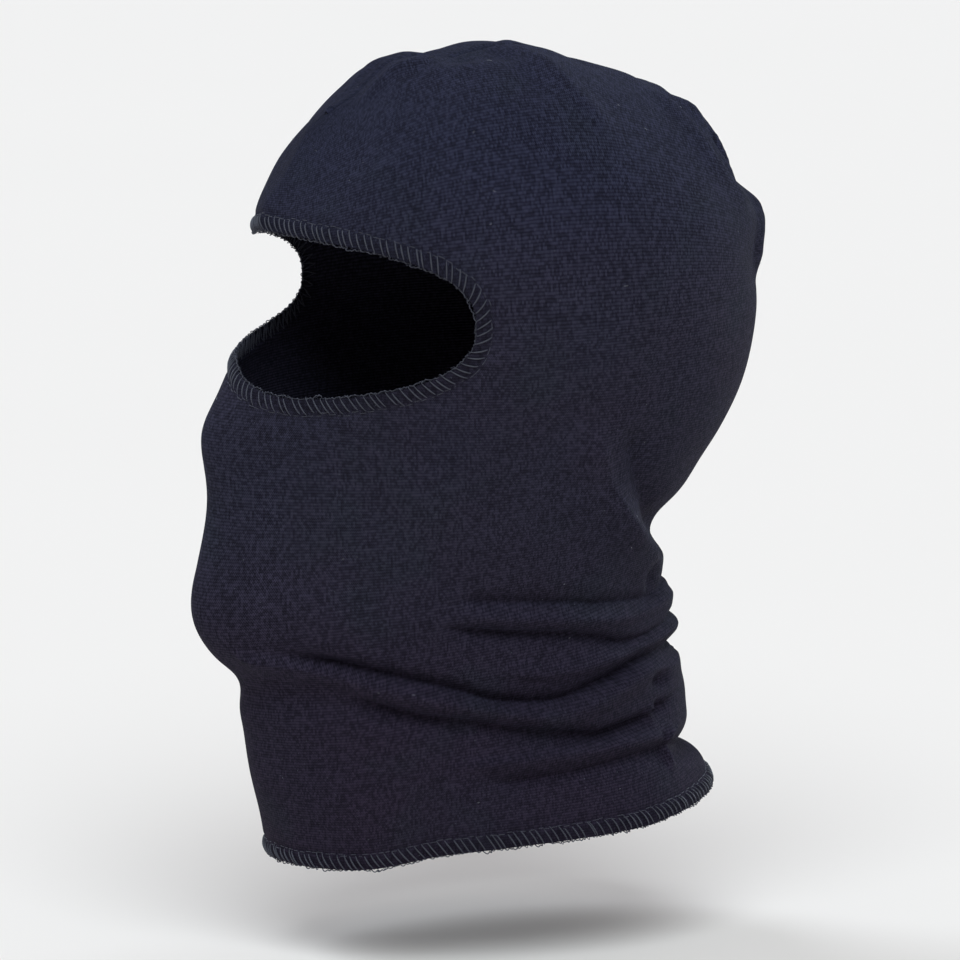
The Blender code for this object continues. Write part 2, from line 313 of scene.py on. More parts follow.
# A wrinkle runs along places given as (degrees from the front, mm of height). Its height is in
# mm, negative for a crease. It fades out over above and below, in mm, on its two sides: above is
# the upper side of a path that runs forwards, and the lower side of one that runs back.
Wrinkle = namedtuple("Wrinkle", "places height above below")
NECK_FOLDS = (
    Wrinkle(((172, -203), (156, -203), (139, -206), (105, -203.5), (91, -202), (66, -200), (50, -198)),
            -2.6, 3.0, 1.1),
    Wrinkle(((172, -209), (156, -209), (118, -210), (92, -208), (71, -206), (50, -203)), 1.9, 2.0, 4),
    Wrinkle(((172, -216), (156, -216), (125, -219.5), (107, -215.5), (92, -213.5), (65, -211), (46, -208)),
            -3.4, 1.2, 3.6),
    Wrinkle(((156, -222), (131, -223), (115, -225), (101, -227), (80, -228), (62, -225)),
            1.8, 4, 2.4),
    Wrinkle(((172, -227), (156, -227), (130, -228), (115, -231.5), (102, -235), (88, -238), (66, -237),
             (53, -232.5), (42, -229), (26, -224), (14, -220)), -3.9, 2.6, 1.2),
    Wrinkle(((156, -233), (129, -233), (114, -237), (102, -241), (92, -243), (81, -244),
             (66, -241), (49, -237), (32, -231), (18, -224), (4, -219)), 3.0, 2.2, 6),
    Wrinkle(((136, -246), (127, -249), (117, -250.5), (106, -252), (96, -251), (76, -248),
             (57, -244), (41, -241), (24, -234)), -4.6, 1.6, 4.4),
    Wrinkle(((140, -257), (130, -256.5), (110, -257), (91, -258), (72, -260), (50, -261)), 2.2, 2.0, 3.5),
    Wrinkle(((166, -264), (154, -263.5), (138, -261.5), (120, -262), (100, -264), (82, -266), (60, -268)),
            -2.6, 1.6, 4),
)
LUMPS = (  # local rises and dimples: degrees, height, mm of rise, half widths across and up
    (160, -192, 3.2, 20, 6),
    (160, -206, 5.0, 24, 15),
    (162, -220, 3.3, 22, 6),
    (162, -243, 2.2, 24, 9),
    (162, -264, -5.6, 32, 5),
    (148, -186, -4.4, 6, 4),
    (142, -199, -3.6, 5, 6.5),
    (137, -237, -3.8, 6, 3.2),
    (137, -264, 3.4, 2.5, 6),
    (165, -22, -0.9, 24, 7),
    (165, -40, -2.0, 24, 10),
    (165, -51, -1.8, 24, 5),
    (165, -67, 2.5, 24, 9),
    (165, -86, -1.0, 24, 10),
    (156, -112, 1.8, 40, 26),
    (165, -157, -2.1, 30, 18),
    (160, -179, -4.3, 26, 9),
    (-14, -38, -1.7, 30, 26),
    (-9, -56, 0.8, 20, 8),
    (-9, -70, -1.6, 16, 6),
    (-9, -150, 0.7, 25, 28),
    (-9, -210, 1.2, 25, 11),
    (-9, -234, -2.2, 30, 8),
    (-9, -246, 0.6, 25, 6),
    (-9, -275, 0.7, 25, 12),
)
NAPE_WRINKLES = (
    Wrinkle(((95, -130), (98, -140), (102, -154), (109, -164), (118, -173), (133, -183), (156, -191)),
            3.5, 12, 4.5),
    Wrinkle(((104, -156), (109, -164), (118, -173), (133, -183), (156, -191)), 1.6, 5, 1.3),
    Wrinkle(((107, -132), (113, -148), (118, -158), (123, -166), (130, -175), (146, -184)), -4.6, 4.5, 9),
)
CORNER_WRINKLES = (
    Wrinkle(((62, -102), (68, -96), (77, -88), (84, -84)), -0.9, 2.5, 3.5),
    Wrinkle(((60, -108), (70, -104), (82, -99)), 0.7, 4, 5),
)
PRESSED_FOLD = Wrinkle(((-2, -18), (1, -27), (3, -36), (3, -46), (0, -56), (-2, -68)), 2.8, 9, 9)
FACE_WRINKLES = (
    Wrinkle(((20, -205), (45, -206), (66, -212)), 0.9, 6, 6),
    Wrinkle(((0, -197), (14, -198), (30, -199)), 1.0, 9, 5),
    Wrinkle(((0, -222), (14, -223), (30, -225)), -1.3, 9, 8),
)
# On the crown, places are (x, y) in mm.
CROWN_WRINKLES = (
    Wrinkle(((-46, -32), (-20, -25), (0, -20), (26, -24)), -4.0, 13, 9),
    Wrinkle(((-40, -70), (0, -62), (40, -70)), -2.2, 12, 12),
    Wrinkle(((-30, -52), (0, -44), (32, -52)), 1.2, 5, 6),
    Wrinkle(((9, -66), (11, -52), (10, -36), (8, -24)), 2.2, 4, 4),
    Wrinkle(((-9, -64), (-11, -50), (-10, -34), (-8, -24)), 1.2, 4, 4),
    Wrinkle(((0, 3), (16, 4), (35, 7), (48, 13), (58, 22)), 1.9, 4, 6),
    Wrinkle(((-30, 4), (0, 2), (30, 4)), -2.0, 24, 22),
    Wrinkle(((-8, -7), (10, -6), (26, -5), (40, -3), (52, 2)), -1.7, 5, 3.5),
    Wrinkle(((-24, 30), (0, 28), (24, 34)), -1.2, 9, 8),
    Wrinkle(((-44, 56), (-16, 56), (0, 56), (30, 62)), -2.0, 9, 9),
    Wrinkle(((-40, -60), (-12, -58), (30, -60)), -0.9, 9, 9),
    Wrinkle(((-40, -34), (-12, -33), (30, -34)), 0.6, 6, 6),
    Wrinkle(((-40, -12), (-12, -11), (30, -12)), -1.1, 8, 8),
    Wrinkle(((-44, 70), (-14, 70), (10, 71)), -0.9, 6, 6),
    Wrinkle(((-22, 16), (-10, 8), (0, 6)), 1.2, 4, 5),
)
FLAPS = (
    Wrinkle(((12, 62), (22, 71), (30, 79), (35, 85)), 3.4, 6, 2.6),
    Wrinkle(((2, 66), (8, 74), (12, 82), (14, 90)), -2.2, 4, 4),
)
BACK_FLAPS = (
    Wrinkle(((160, -14), (156, -19), (152, -25), (150, -33), (150, -42), (153, -52), (160, -64)),
            2.2, 6, 1.4),
    Wrinkle(((170, -20), (164, -27), (159, -35), (158, -44), (160, -54), (165, -64)), -3.0, 1.8, 2.6),
    Wrinkle(((176, -20), (172, -28), (170, -36), (168, -46)), 3.0, 3, 7),
    Wrinkle(((174, -54), (170, -64), (166, -76), (164, -92)), 3.8, 3.2, 9),
)
SIDE_FOLDS, BACK_FOLDS = 1.4, 0.8  # how strong the neck's folds are at the side and at the back
SIDE_END, BACK_START = 115, 155  # degrees from the front between which their strength changes
WRINKLE_END = 16 * MM  # over which a wrinkle runs out
WRINKLE_END_SHARE = 0.3  # or over this share of its length, if that is less
WRINKLE_REACH = 3.6  # widths beyond which a wrinkle is not felt
CREASE_POWER = 1.3  # creases are sharper than ridges
HEM_WAVE = (  # mm by which the hem is raised, at degrees from the front
    (0, 3.0), (12, 3.0), (30, 1.0), (48, 5.0), (75, 3.2), (97, 1.0), (118, -1.6), (150, -2.0), (180, -0.5),
    (220, 1.5), (262, -1.0), (300, 2.5), (330, -0.5), (360, 3.0),
)
HEM_WAVE_ROWS = 68  # from the hem up, over which the wave fades out
HEM_SOFTENINGS = 60
FAR_SIDE_SHIFT = 2.0  # mm by which the folds of the wearer's right differ in height
FAR_SIDE_END = 158  # degrees, beyond which they don't, because both sides meet at the back
NARROW_LUMP = 10  # mm: lumps that are narrower are on the wearer's left only
LUMP_TWIN_TURN = 6  # degrees by which the twins of the others are nearer to the front
WAVES = 12
WAVE_HEIGHT = 0.11  # mm, of each of the broad waves in the cloth
WAVE_LENGTHS = 26, 70  # mm


def level(sheet):
    """A rise of nothing for the whole sheet."""
    return np.zeros(sheet.points.shape[:2])


def hem_wave(points):
    """How far the sheet is raised, in mm, so that its hem is not quite level."""
    azimuth = np.degrees(np.arctan2(points[..., 0], -points[..., 1])) % 360
    dense = np.arange(-30, 391)
    places, raised = np.array(HEM_WAVE).T
    height = np.interp(dense % 360, places, raised)
    for _ in range(HEM_SOFTENINGS):
        height[1:-1] = (height[:-2] + 2 * height[1:-1] + height[2:]) / 4
    near = ease((np.arange(SHEET_ROWS + 1) - SHEET_ROWS + HEM_WAVE_ROWS) / HEM_WAVE_ROWS)
    return np.interp(azimuth, dense, height) * near[:, None]


def ray_rows():
    """The ray row of each of the sheet's rows."""
    upper = np.arange(CLOSE_START) / FINE_ROWS
    lower = GATHER_START + np.arange(SHEET_ROWS - CLOSE_START + 1) / CLOSE_ROWS
    return np.concatenate([upper, lower])


class Sheet:
    """The cloth before it is cut: points and normals on a fine grid round the head."""

    def __init__(self, size, shares):
        columns = np.arange(SHEET_COLUMNS) / FINE_COLUMNS
        rows = ray_rows()[:, None]
        angle = 2 * np.pi * columns / COLUMNS
        middle, reach = rays(size, angle, rows)
        share = read(with_ghosts(shares), columns, rows)
        self.size = size
        points = middle + share[..., None] * reach
        points[..., 2] += MM * hem_wave(points)
        self.finish(points)
        spacing = np.linalg.norm(np.diff(self.points, axis=0), axis=2).mean(1)
        self.depth = np.concatenate([[0], np.cumsum(spacing)])

    def finish(self, points):
        self.points = points
        self.normals = grid_normals(points)
        self.point_grid = with_ghosts(points)
        self.normal_grid = with_ghosts(self.normals)

    def raise_by(self, height):
        self.finish(self.points + self.normals * height[..., None])

    def at(self, column, row, height=0.0):
        """Points on the sheet, or this high above it."""
        points = read(self.point_grid, column, row)
        if np.any(height):
            points = points + unit(read(self.normal_grid, column, row)) * np.asarray(height)[..., None]
        return points

    def facing(self, column, row):
        return unit(read(self.normal_grid, column, row))

    def near(self, azimuth, z):
        """The sheet's point nearest to this many degrees from the front and this height."""
        own = np.degrees(np.arctan2(self.points[..., 0], -self.points[..., 1]))
        turn = (own - azimuth + 180) % 360 - 180
        radius = np.hypot(self.points[..., 0], self.points[..., 1])
        far = np.hypot(np.radians(turn) * radius, self.points[..., 2] - z)
        return self.points[np.unravel_index(far.argmin(), far.shape)]

    def over(self, x, y):
        """The point of the crown over x and y."""
        dome = self.points[: BROW_ROW + 1]
        far = np.hypot(dome[..., 0] - x, dome[..., 1] - y)
        return dome[np.unravel_index(far.argmin(), far.shape)]


def softened_path(points, steps=6):
    """A smooth line through the points."""
    points = np.array(points)
    longer = np.concatenate([[2 * points[0] - points[1]], points, [2 * points[-1] - points[-2]]])
    line = []
    for k in range(len(points) - 1):
        for f in np.arange(steps) / steps:
            line.append(sum(w * longer[k + j] for j, w in enumerate(curve_weights(f))))
    return np.array(line + [points[-1]])


def wrinkle_height(sheet, path, one, flip=False):
    """The rise of the whole sheet, in metres, from one wrinkle along a path in space."""
    height, above, below = one.height * MM, one.above * MM, one.below * MM
    if flip:
        above, below = below, above
    line = softened_path(path)
    reach = WRINKLE_REACH * max(above, below)
    low, high = line.min(0) - reach, line.max(0) + reach
    inside = np.all((sheet.points > low) & (sheet.points < high), axis=-1)
    spots, facing = sheet.points[inside], sheet.normals[inside]
    best = np.full(len(spots), np.inf)
    side, along = np.zeros(len(spots)), np.zeros(len(spots))
    starts = lengths_along(line)
    for k in range(len(line) - 1):
        step = line[k + 1] - line[k]
        share = np.clip((spots - line[k]) @ step / (step @ step), 0, 1)
        offset = spots - line[k] - share[:, None] * step
        far = np.linalg.norm(offset, axis=1)
        closer = far < best
        best[closer] = far[closer]
        side[closer] = np.sum(np.cross(step, facing) * offset, axis=1)[closer]
        along[closer] = (starts[k] + share * np.linalg.norm(step))[closer]
    width = np.where(side > 0, above, below)
    run_out = min(WRINKLE_END, WRINKLE_END_SHARE * starts[-1])
    fade = ease(along / run_out) * ease((starts[-1] - along) / run_out)
    sharp = height < 0 or one is PRESSED_FOLD
    shape = np.exp(-((best / width) ** CREASE_POWER)) if sharp else bump(best, width)
    rise = level(sheet)
    rise[inside] = height * shape * fade
    return rise


def side_path(sheet, places, left):
    """The path of a wrinkle on the wearer's left, or its slightly different twin on the right."""
    path = []
    for azimuth, z in places:
        if left:
            path.append(sheet.near(azimuth, z * MM))
        else:
            shift = FAR_SIDE_SHIFT * math.sin(math.radians(3 * azimuth)) * (azimuth < FAR_SIDE_END)
            path.append(sheet.near(-azimuth, (z + shift) * MM))
    return path


def fold_relief(sheet):
    """Rises of the sheet, in metres, from every fold, wrinkle, lump and broad wave."""
    rise = level(sheet)
    for one in NECK_FOLDS:
        path = side_path(sheet, one.places[::-1], False) + side_path(sheet, one.places, True)
        rise += wrinkle_height(sheet, path, one)
    turn = np.degrees(np.abs(np.arctan2(sheet.points[..., 0], -sheet.points[..., 1])))
    back_share = ease((turn - SIDE_END) / (BACK_START - SIDE_END))
    rise *= SIDE_FOLDS + (BACK_FOLDS - SIDE_FOLDS) * back_share
    for one in NAPE_WRINKLES + CORNER_WRINKLES + FACE_WRINKLES:
        rise += wrinkle_height(sheet, side_path(sheet, one.places, True), one)
        rise += wrinkle_height(sheet, side_path(sheet, one.places, False), one, flip=True)
    for one in BACK_FLAPS + (PRESSED_FOLD,):
        rise += wrinkle_height(sheet, side_path(sheet, one.places, True), one)
    for one in CROWN_WRINKLES + FLAPS:
        rise += wrinkle_height(sheet, [sheet.over(x * MM, y * MM) for x, y in one.places], one)
    for azimuth, z, height, across, up in LUMPS:
        twins = (azimuth, LUMP_TWIN_TURN - azimuth) if across > NARROW_LUMP else (azimuth,)
        for turn in twins:
            offset = sheet.points - sheet.near(turn, z * MM)
            flat = np.hypot(offset[..., 0], offset[..., 1]) / (across * MM)
            rise += height * MM * np.exp(-(flat**2) - (offset[..., 2] / (up * MM)) ** 2)
    return rise


def wave_relief(sheet):
    """Broad soft waves, as cloth has where it is not stretched tight."""
    rise = level(sheet)
    for _ in range(WAVES):
        direction = unit(RNG.normal(size=3) * (1, 1, 1.6))
        length = RNG.uniform(*WAVE_LENGTHS) * MM
        phase = RNG.uniform(0, 2 * np.pi)
        rise += WAVE_HEIGHT * MM * np.sin(sheet.points @ direction * 2 * np.pi / length + phase)
    return rise


# ---- edges ----


class Edge:
    """An edge of the cloth. Threads are laid by length along it, distance in and height."""

    def __init__(self, sheet, columns, rows):
        self.sheet = sheet
        columns = np.unwrap(columns, period=SHEET_COLUMNS)
        turns = round((columns[-1] - columns[0]) / SHEET_COLUMNS)
        points = sheet.at(columns, rows)
        along = np.roll(points, -1, 0) - np.roll(points, 1, 0)
        away = unit(np.cross(sheet.facing(columns, rows), along))
        step = 0.5
        across = (sheet.at(columns + step, rows) - sheet.at(columns - step, rows)) / (2 * step)
        inner = np.minimum(rows, SHEET_ROWS - step)
        down = (sheet.at(columns, inner + step) - sheet.at(columns, inner - step)) / (2 * step)
        aa, dd = np.sum(across**2, 1), np.sum(down**2, 1)
        ad, wa, wd = np.sum(across * down, 1), np.sum(away * across, 1), np.sum(away * down, 1)
        size = aa * dd - ad**2
        lengths = np.linalg.norm(np.roll(points, -1, 0) - points, axis=1)
        self.starts = np.concatenate([[0], np.cumsum(lengths)])
        self.length = self.starts[-1]
        self.values = [
            np.append(columns, columns[0] + SHEET_COLUMNS * turns),
            self.closed(rows),
            self.closed((wa * dd - wd * ad) / size),
            self.closed((wd * aa - wa * ad) / size),
        ]

    @staticmethod
    def closed(values):
        return np.append(values, values[0])

    def lay(self, along, distance, height):
        place = np.mod(along, self.length)
        column, row, turn, drop = (np.interp(place, self.starts, v) for v in self.values)
        return self.sheet.at(column + turn * distance, row + drop * distance, height)


OPENING_POINTS = 240
OPENING_UNITS = 7.0, 6.0  # rays across and down that its radii are measured in
OPENING_INSIDE, OPENING_OUTSIDE = 0.1, 1.7  # radii between which its edge lies
OPENING_SEARCH = 16  # halvings
OPENING_SOFTENINGS = 4
Opening = namedtuple("Opening", "column row wide tall radius")


def find_opening(tree, size, missing):
    """The face opening's outline, as radii round its middle, in the sheet's columns and rows."""
    rows, columns = np.nonzero(missing[: DOME_ROWS + TUBE_ROWS // 3])
    columns = (columns + COLUMNS // 2) % COLUMNS - COLUMNS // 2
    column, row = np.median(columns), np.median(rows)
    wide, tall = OPENING_UNITS
    radius = []
    for turn in 2 * np.pi * np.arange(OPENING_POINTS) / OPENING_POINTS:
        inside, outside = OPENING_INSIDE, OPENING_OUTSIDE
        for _ in range(OPENING_SEARCH):
            share = 0.5 * (inside + outside)
            angle = 2 * math.pi * (column + wide * share * math.cos(turn)) / COLUMNS
            height = row + tall * share * math.sin(turn)
            if math.isnan(cloth_share(tree, size, angle, height)):
                inside = share
            else:
                outside = share
        radius.append(inside)
    radius = np.array(radius)
    for _ in range(OPENING_SOFTENINGS):
        radius = (np.roll(radius, 1) + 2 * radius + np.roll(radius, -1)) / 4
    return Opening(column * FINE_COLUMNS, row * FINE_ROWS, wide * FINE_COLUMNS, tall * FINE_ROWS, radius)


def columns_from(opening, column):
    """Columns from the opening's middle, the short way round."""
    return (column - opening.column + SHEET_COLUMNS / 2) % SHEET_COLUMNS - SHEET_COLUMNS / 2


def opening_share(opening, column, row):
    """How far out a place is from the opening's middle: 1 on its edge."""
    across = columns_from(opening, column) / opening.wide
    down = (row - opening.row) / opening.tall
    turn = np.arctan2(down, across) % (2 * np.pi)
    turns = 2 * np.pi * np.arange(OPENING_POINTS + 1) / OPENING_POINTS
    return np.hypot(across, down) / np.interp(turn, turns, np.append(opening.radius, opening.radius[0]))


def opening_outline(opening):
    turn = 2 * np.pi * np.arange(OPENING_POINTS) / OPENING_POINTS
    column = opening.column + opening.wide * opening.radius * np.cos(turn)
    row = opening.row + opening.tall * opening.radius * np.sin(turn)
    return column, row


BAND_RELIEF = 0.45 * MM  # how far the overlocked bands swell, and the grooves beside them dip
GROOVE = 0.6 * MM, 1.1 * MM  # from the needle line to the groove, and the groove's half width
SEAM_DIP, SEAM_HALF = 0.65 * MM, 1.2 * MM  # the crown seam's groove
SEAM_RIDGE, SEAM_RIDGE_AT, SEAM_RIDGE_HALF = 0.25 * MM, 4 * MM, 2.5 * MM  # the ridges along it
SEAM_ROWS = 24  # rows that the crown seam can reach
NEAR_OPENING = 1.8  # shares of the opening within which its edge can reach
FAR_OFF = 1.0  # m, for cloth that is out of an edge's reach


def edge_relief(sheet, opening):
    """The overlocked bands swell a little, and the needle line pulls a groove beside them."""
    rise = level(sheet)
    column, row = np.meshgrid(np.arange(SHEET_COLUMNS), np.arange(SHEET_ROWS + 1))
    share = opening_share(opening, column, row)
    outline = sheet.at(*opening_outline(opening))
    close = share < NEAR_OPENING
    spots = sheet.points[close]
    far = np.full(len(spots), np.inf)
    for point in outline:
        far = np.minimum(far, np.linalg.norm(spots - point, axis=1))
    far = np.where(share[close] < 1, 0, far)
    distance = np.full(share.shape, FAR_OFF)
    distance[close] = far
    hem = np.linalg.norm(sheet.points - sheet.points[-1], axis=2)
    hem[:BAND_ROW] = FAR_OFF
    for one in (distance, hem):
        rise += BAND_RELIEF * bump(one - 0.5 * NEEDLE, 0.5 * NEEDLE)
        rise -= BAND_RELIEF * bump(one - NEEDLE - GROOVE[0], GROOVE[1])
    # The overlocked bands' share at each place: the knit's colour is darkened there as painted shade.
    sheet.band_grid = with_ghosts(1 - ease(np.minimum(distance, hem) / NEEDLE - 0.5))
    seam = np.linalg.norm(sheet.points - sheet.points[0], axis=2)
    seam[SEAM_ROWS:] = FAR_OFF
    rise -= SEAM_DIP * bump(seam, SEAM_HALF)
    rise += SEAM_RIDGE * bump(seam - SEAM_RIDGE_AT, SEAM_RIDGE_HALF)
    return rise


# ---- cutting the sheet ----


SMALLEST_SHARE = 1e-6  # keeps the opening's own middle from dividing by nothing
SOFT_SHARES = 0.9, 1.35  # the grid is evened out between these shares of the opening
SOFT_PASSES = 6


class Cut:
    """The sheet's vertices after its grid is fitted to the opening, and the quads that stay."""

    def __init__(self, sheet, opening):
        self.sheet = sheet
        column, row = np.meshgrid(
            np.arange(SHEET_COLUMNS, dtype=float), np.arange(SHEET_ROWS + 1, dtype=float)
        )
        share = opening_share(opening, column[:-1] + 0.5, row[:-1] + 0.5)
        self.kept = share > 1
        gone_near = self.beside(~self.kept)
        kept_near = self.beside(self.kept)
        rim = gone_near & kept_near
        offset = columns_from(opening, column)
        out = np.maximum(opening_share(opening, column, row), SMALLEST_SHARE)
        new_offset = np.where(rim, offset / out, offset)
        new_row = np.where(rim, opening.row + (row - opening.row) / out, row)
        soft = ~rim & kept_near & (out > SOFT_SHARES[0]) & (out < SOFT_SHARES[1])
        for _ in range(SOFT_PASSES):
            for value in (new_offset, new_row):
                mean = (np.roll(value, 1, 0) + np.roll(value, -1, 0)) / 4
                mean += (np.roll(value, 1, 1) + np.roll(value, -1, 1)) / 4
                value[soft] = mean[soft]
        self.column = (column - offset) + new_offset
        self.row = new_row
        self.points = sheet.at(self.column, self.row)
        self.normals = sheet.facing(self.column, self.row)
        self.band = read(sheet.band_grid, self.column, self.row)

    @staticmethod
    def beside(quads):
        """Vertices with such a quad at one of their corners."""
        found = np.zeros((SHEET_ROWS + 1, SHEET_COLUMNS), bool)
        found[:-1] |= quads | np.roll(quads, 1, 1)
        found[1:] |= quads | np.roll(quads, 1, 1)
        return found


def add_object(name, data):
    made = bpy.data.objects.new(name, data)
    bpy.context.scene.collection.objects.link(made)
    return made


def keep_rest_places(mesh):
    """Stores each vertex's place, for patterns that stay with the cloth when it moves."""
    co = np.empty(len(mesh.vertices) * 3, np.float32)
    mesh.vertices.foreach_get("co", co)
    mesh.attributes.new("rest_place", "FLOAT_VECTOR", "POINT").data.foreach_set("vector", co)


def add_mesh(name, corners, faces, materials, layer=None, uvs=None):
    """A smooth mesh. Its UV layer, if it has one, has a place for each corner of each face."""
    mesh = bpy.data.meshes.new(name)
    mesh.from_pydata(np.asarray(corners).tolist(), [], faces)
    for one in materials:
        mesh.materials.append(one)
    mesh.shade_smooth()
    if layer:
        mesh.uv_layers.new(name=layer).data.foreach_set("uv", np.array(uvs, np.float32).ravel())
        keep_rest_places(mesh)
    return add_object(name, mesh)


def knit_piece(name, cut, first, last, outer, inner):
    """The cloth between two rows: outer side, inner side and the rims that join them."""
    sheet = cut.sheet
    row, column = np.nonzero(cut.kept[first:last])
    row = row + first
    corner_rows = np.stack([row, row + 1, row + 1, row], 1)
    corner_columns = np.stack([column, column, column + 1, column + 1], 1)
    wrapped = corner_columns % SHEET_COLUMNS
    joined = np.where(corner_rows == 0, np.minimum(wrapped, (-wrapped) % SHEET_COLUMNS), wrapped)
    outside = corner_rows * SHEET_COLUMNS + joined
    total = (SHEET_ROWS + 1) * SHEET_COLUMNS

    start, end = outside, np.roll(outside, -1, 1)
    codes, reverse = start * total + end, end * total + start
    open_edge = ~np.isin(codes, reverse)
    a, b = start[open_edge], end[open_edge]
    rims = np.stack([b, a, a + total, b + total], 1)
    quads = np.concatenate([outside, (outside + total)[:, ::-1], rims])

    inside_points = cut.points - THICKNESS * cut.normals
    points = np.concatenate([cut.points.reshape(-1, 3), inside_points.reshape(-1, 3)])
    flat = cut.normals.reshape(-1, 3)
    normals = np.concatenate([flat, -flat])

    turns = cut.column[corner_rows, wrapped] + (corner_columns - wrapped)
    places = np.stack([
        turns * WALES / SHEET_COLUMNS,
        np.interp(cut.row[corner_rows, wrapped], np.arange(SHEET_ROWS + 1), sheet.depth) / COURSE,
    ], -1)
    spot, after = places[open_edge], np.roll(places, -1, 1)[open_edge]
    rim_places = np.stack([after, spot, spot, after], 1)
    uvs = np.concatenate([places, places[:, ::-1], rim_places])

    used, compact = np.unique(quads, return_inverse=True)
    faces = compact.reshape(-1, 4).tolist()
    made = add_mesh(name, points[used], faces, [outer, inner], "knit", uvs)
    mesh = made.data
    index = np.zeros(len(quads), np.int32)
    index[len(outside) : 2 * len(outside)] = 1
    mesh.polygons.foreach_set("material_index", index)
    mesh.normals_split_custom_set_from_vertices(normals[used].tolist())
    # The overlocked bands' share, by which the knit's colour gets painted shade.
    band = np.tile(cut.band.ravel(), 2)[used].astype(np.float32)
    mesh.attributes.new("band", "FLOAT", "POINT").data.foreach_set("value", band)
    return made


# ---- threads ----


ANY_DIRECTION = 0.3, 0.5, 0.8  # none of the threads starts along it
THREAD_END = 0.5  # share of its radius that a thread has at its ends


def with_radius(points, radius):
    """A thread's path: points with the thread's radius in a fourth column."""
    return np.column_stack([points, np.full(len(points), radius)])


def thread_rings(path, size, closed):
    """Rings of corners round a path, turned as little as can be from one to the next."""
    if closed:
        ahead, behind = np.roll(path, -1, 0), np.roll(path, 1, 0)
    else:
        ahead = np.concatenate([path[1:], path[-1:]])
        behind = np.concatenate([path[:1], path[:-1]])
    tangent = unit(ahead - behind)
    side = np.empty_like(path)
    guess = np.cross(tangent[0], ANY_DIRECTION)
    for k in range(len(path)):
        guess = guess - tangent[k] * (guess @ tangent[k])
        guess = guess / np.linalg.norm(guess)
        side[k] = guess
    other = np.cross(tangent, side)
    turns = 2 * np.pi * np.arange(THREAD_SIDES) / THREAD_SIDES
    return (
        path[:, None]
        + (size[:, None, None] * side[:, None]) * np.cos(turns)[None, :, None]
        + (size[:, None, None] * other[:, None]) * np.sin(turns)[None, :, None]
    )


def tube_mesh(name, paths, material, closed=False):
    """Round threads along paths, as one mesh."""
    corners, faces, uvs = [], [], []
    for path in paths:
        path, size = path[:, :3], path[:, 3].copy()
        first = sum(len(c) for c in corners)
        count = len(path)
        if not closed:
            size[[0, -1]] *= THREAD_END
        corners.append(thread_rings(path, size, closed).reshape(-1, 3))
        starts = lengths_along(path)
        for k in range(count if closed else count - 1):
            here = first + k * THREAD_SIDES
            there = first + (k + 1) % count * THREAD_SIDES
            near, far = starts[k] / MM, starts[min(k + 1, count - 1)] / MM
            for j in range(THREAD_SIDES):
                after = (j + 1) % THREAD_SIDES
                faces.append((here + j, here + after, there + after, there + j))
                low, high = j / THREAD_SIDES, (j + 1) / THREAD_SIDES
                uvs += [(low, near), (high, near), (high, far), (low, far)]
        if not closed:
            faces.append(tuple(first + j for j in reversed(range(THREAD_SIDES))))
            faces.append(tuple(first + (count - 1) * THREAD_SIDES + j for j in range(THREAD_SIDES)))
            uvs += [(0, 0)] * (2 * THREAD_SIDES)
    return add_mesh(name, np.concatenate(corners), faces, [material], "thread", uvs)


# One stitch of each thread, as (pitches along, needle distances in, mm above the cloth).
OUTER_LOOPER = (
    (0.00, 1.02, -0.20), (0.06, 0.95, 0.08), (0.22, 0.79, 0.32), (0.45, 0.58, 0.44),
    (0.69, 0.36, 0.44), (0.91, 0.16, 0.30), (1.06, 0.01, 0.00), (1.12, -0.05, -0.45),
    (1.11, 0.06, -0.66), (1.08, 0.40, -0.62), (1.04, 0.75, -0.60), (1.01, 0.95, -0.50),
)
INNER_LOOPER = (
    (0.00, 1.02, -1.15), (0.10, 0.80, -1.40), (0.28, 0.50, -1.46), (0.44, 0.20, -1.40),
    (0.56, -0.04, -1.20), (0.68, -0.10, -0.62), (0.80, -0.05, -1.10), (0.84, 0.20, -1.30),
    (0.90, 0.50, -1.32), (0.96, 0.80, -1.28),
)
NEEDLE_STITCH = (
    (0.00, 1.06, -0.40), (0.14, 1.06, -0.06), (0.34, 1.065, 0.06), (0.66, 1.065, 0.06),
    (0.86, 1.06, -0.06),
)
EDGE_CHAIN = (
    (0.00, -0.04, -0.25), (0.17, -0.09, -0.05), (0.33, -0.12, -0.45), (0.50, -0.07, -0.85),
    (0.67, -0.04, -0.95), (0.83, -0.09, -0.60),
)
EDGE_CHAIN_RADIUS = 0.40 * MM  # before it is made slender
STITCH_STEPS = 2
STITCH_WOBBLE = (0.14, 0.055, 0.08)  # spread along, in and up, in the templates' units


def stitch_line(edge, template, radius):
    """A thread's whole path round an edge, stitch after stitch, with its radius."""
    count = round(edge.length / PITCH)
    pitch = edge.length / count
    template = np.array(template)
    wobble = RNG.normal(size=(count, 3)) * STITCH_WOBBLE
    along = (np.arange(count)[:, None] + template[:, 0] + wobble[:, :1]) * pitch
    distance = (template[:, 1] + wobble[:, 1:2]) * NEEDLE
    height = (template[:, 2] + wobble[:, 2:]) * MM
    raw = np.stack([along.ravel(), distance.ravel(), height.ravel()], 1)
    period = np.array([edge.length, 0, 0])
    longer = np.concatenate([raw[-1:] - period, raw, raw[:2] + period])
    line = []
    for f in np.arange(STITCH_STEPS) / STITCH_STEPS:
        weights = curve_weights(f)
        line.append(sum(w * longer[j : j + len(raw)] for j, w in enumerate(weights)))
    line = np.stack(line, 1).reshape(-1, 3)
    halfway = np.sin(np.pi * np.clip(line[:, 1] / NEEDLE, 0, 1))
    points = edge.lay(line[:, 0], line[:, 1], line[:, 2])
    return np.column_stack([points, radius * (SLENDER + FULLER * halfway)])


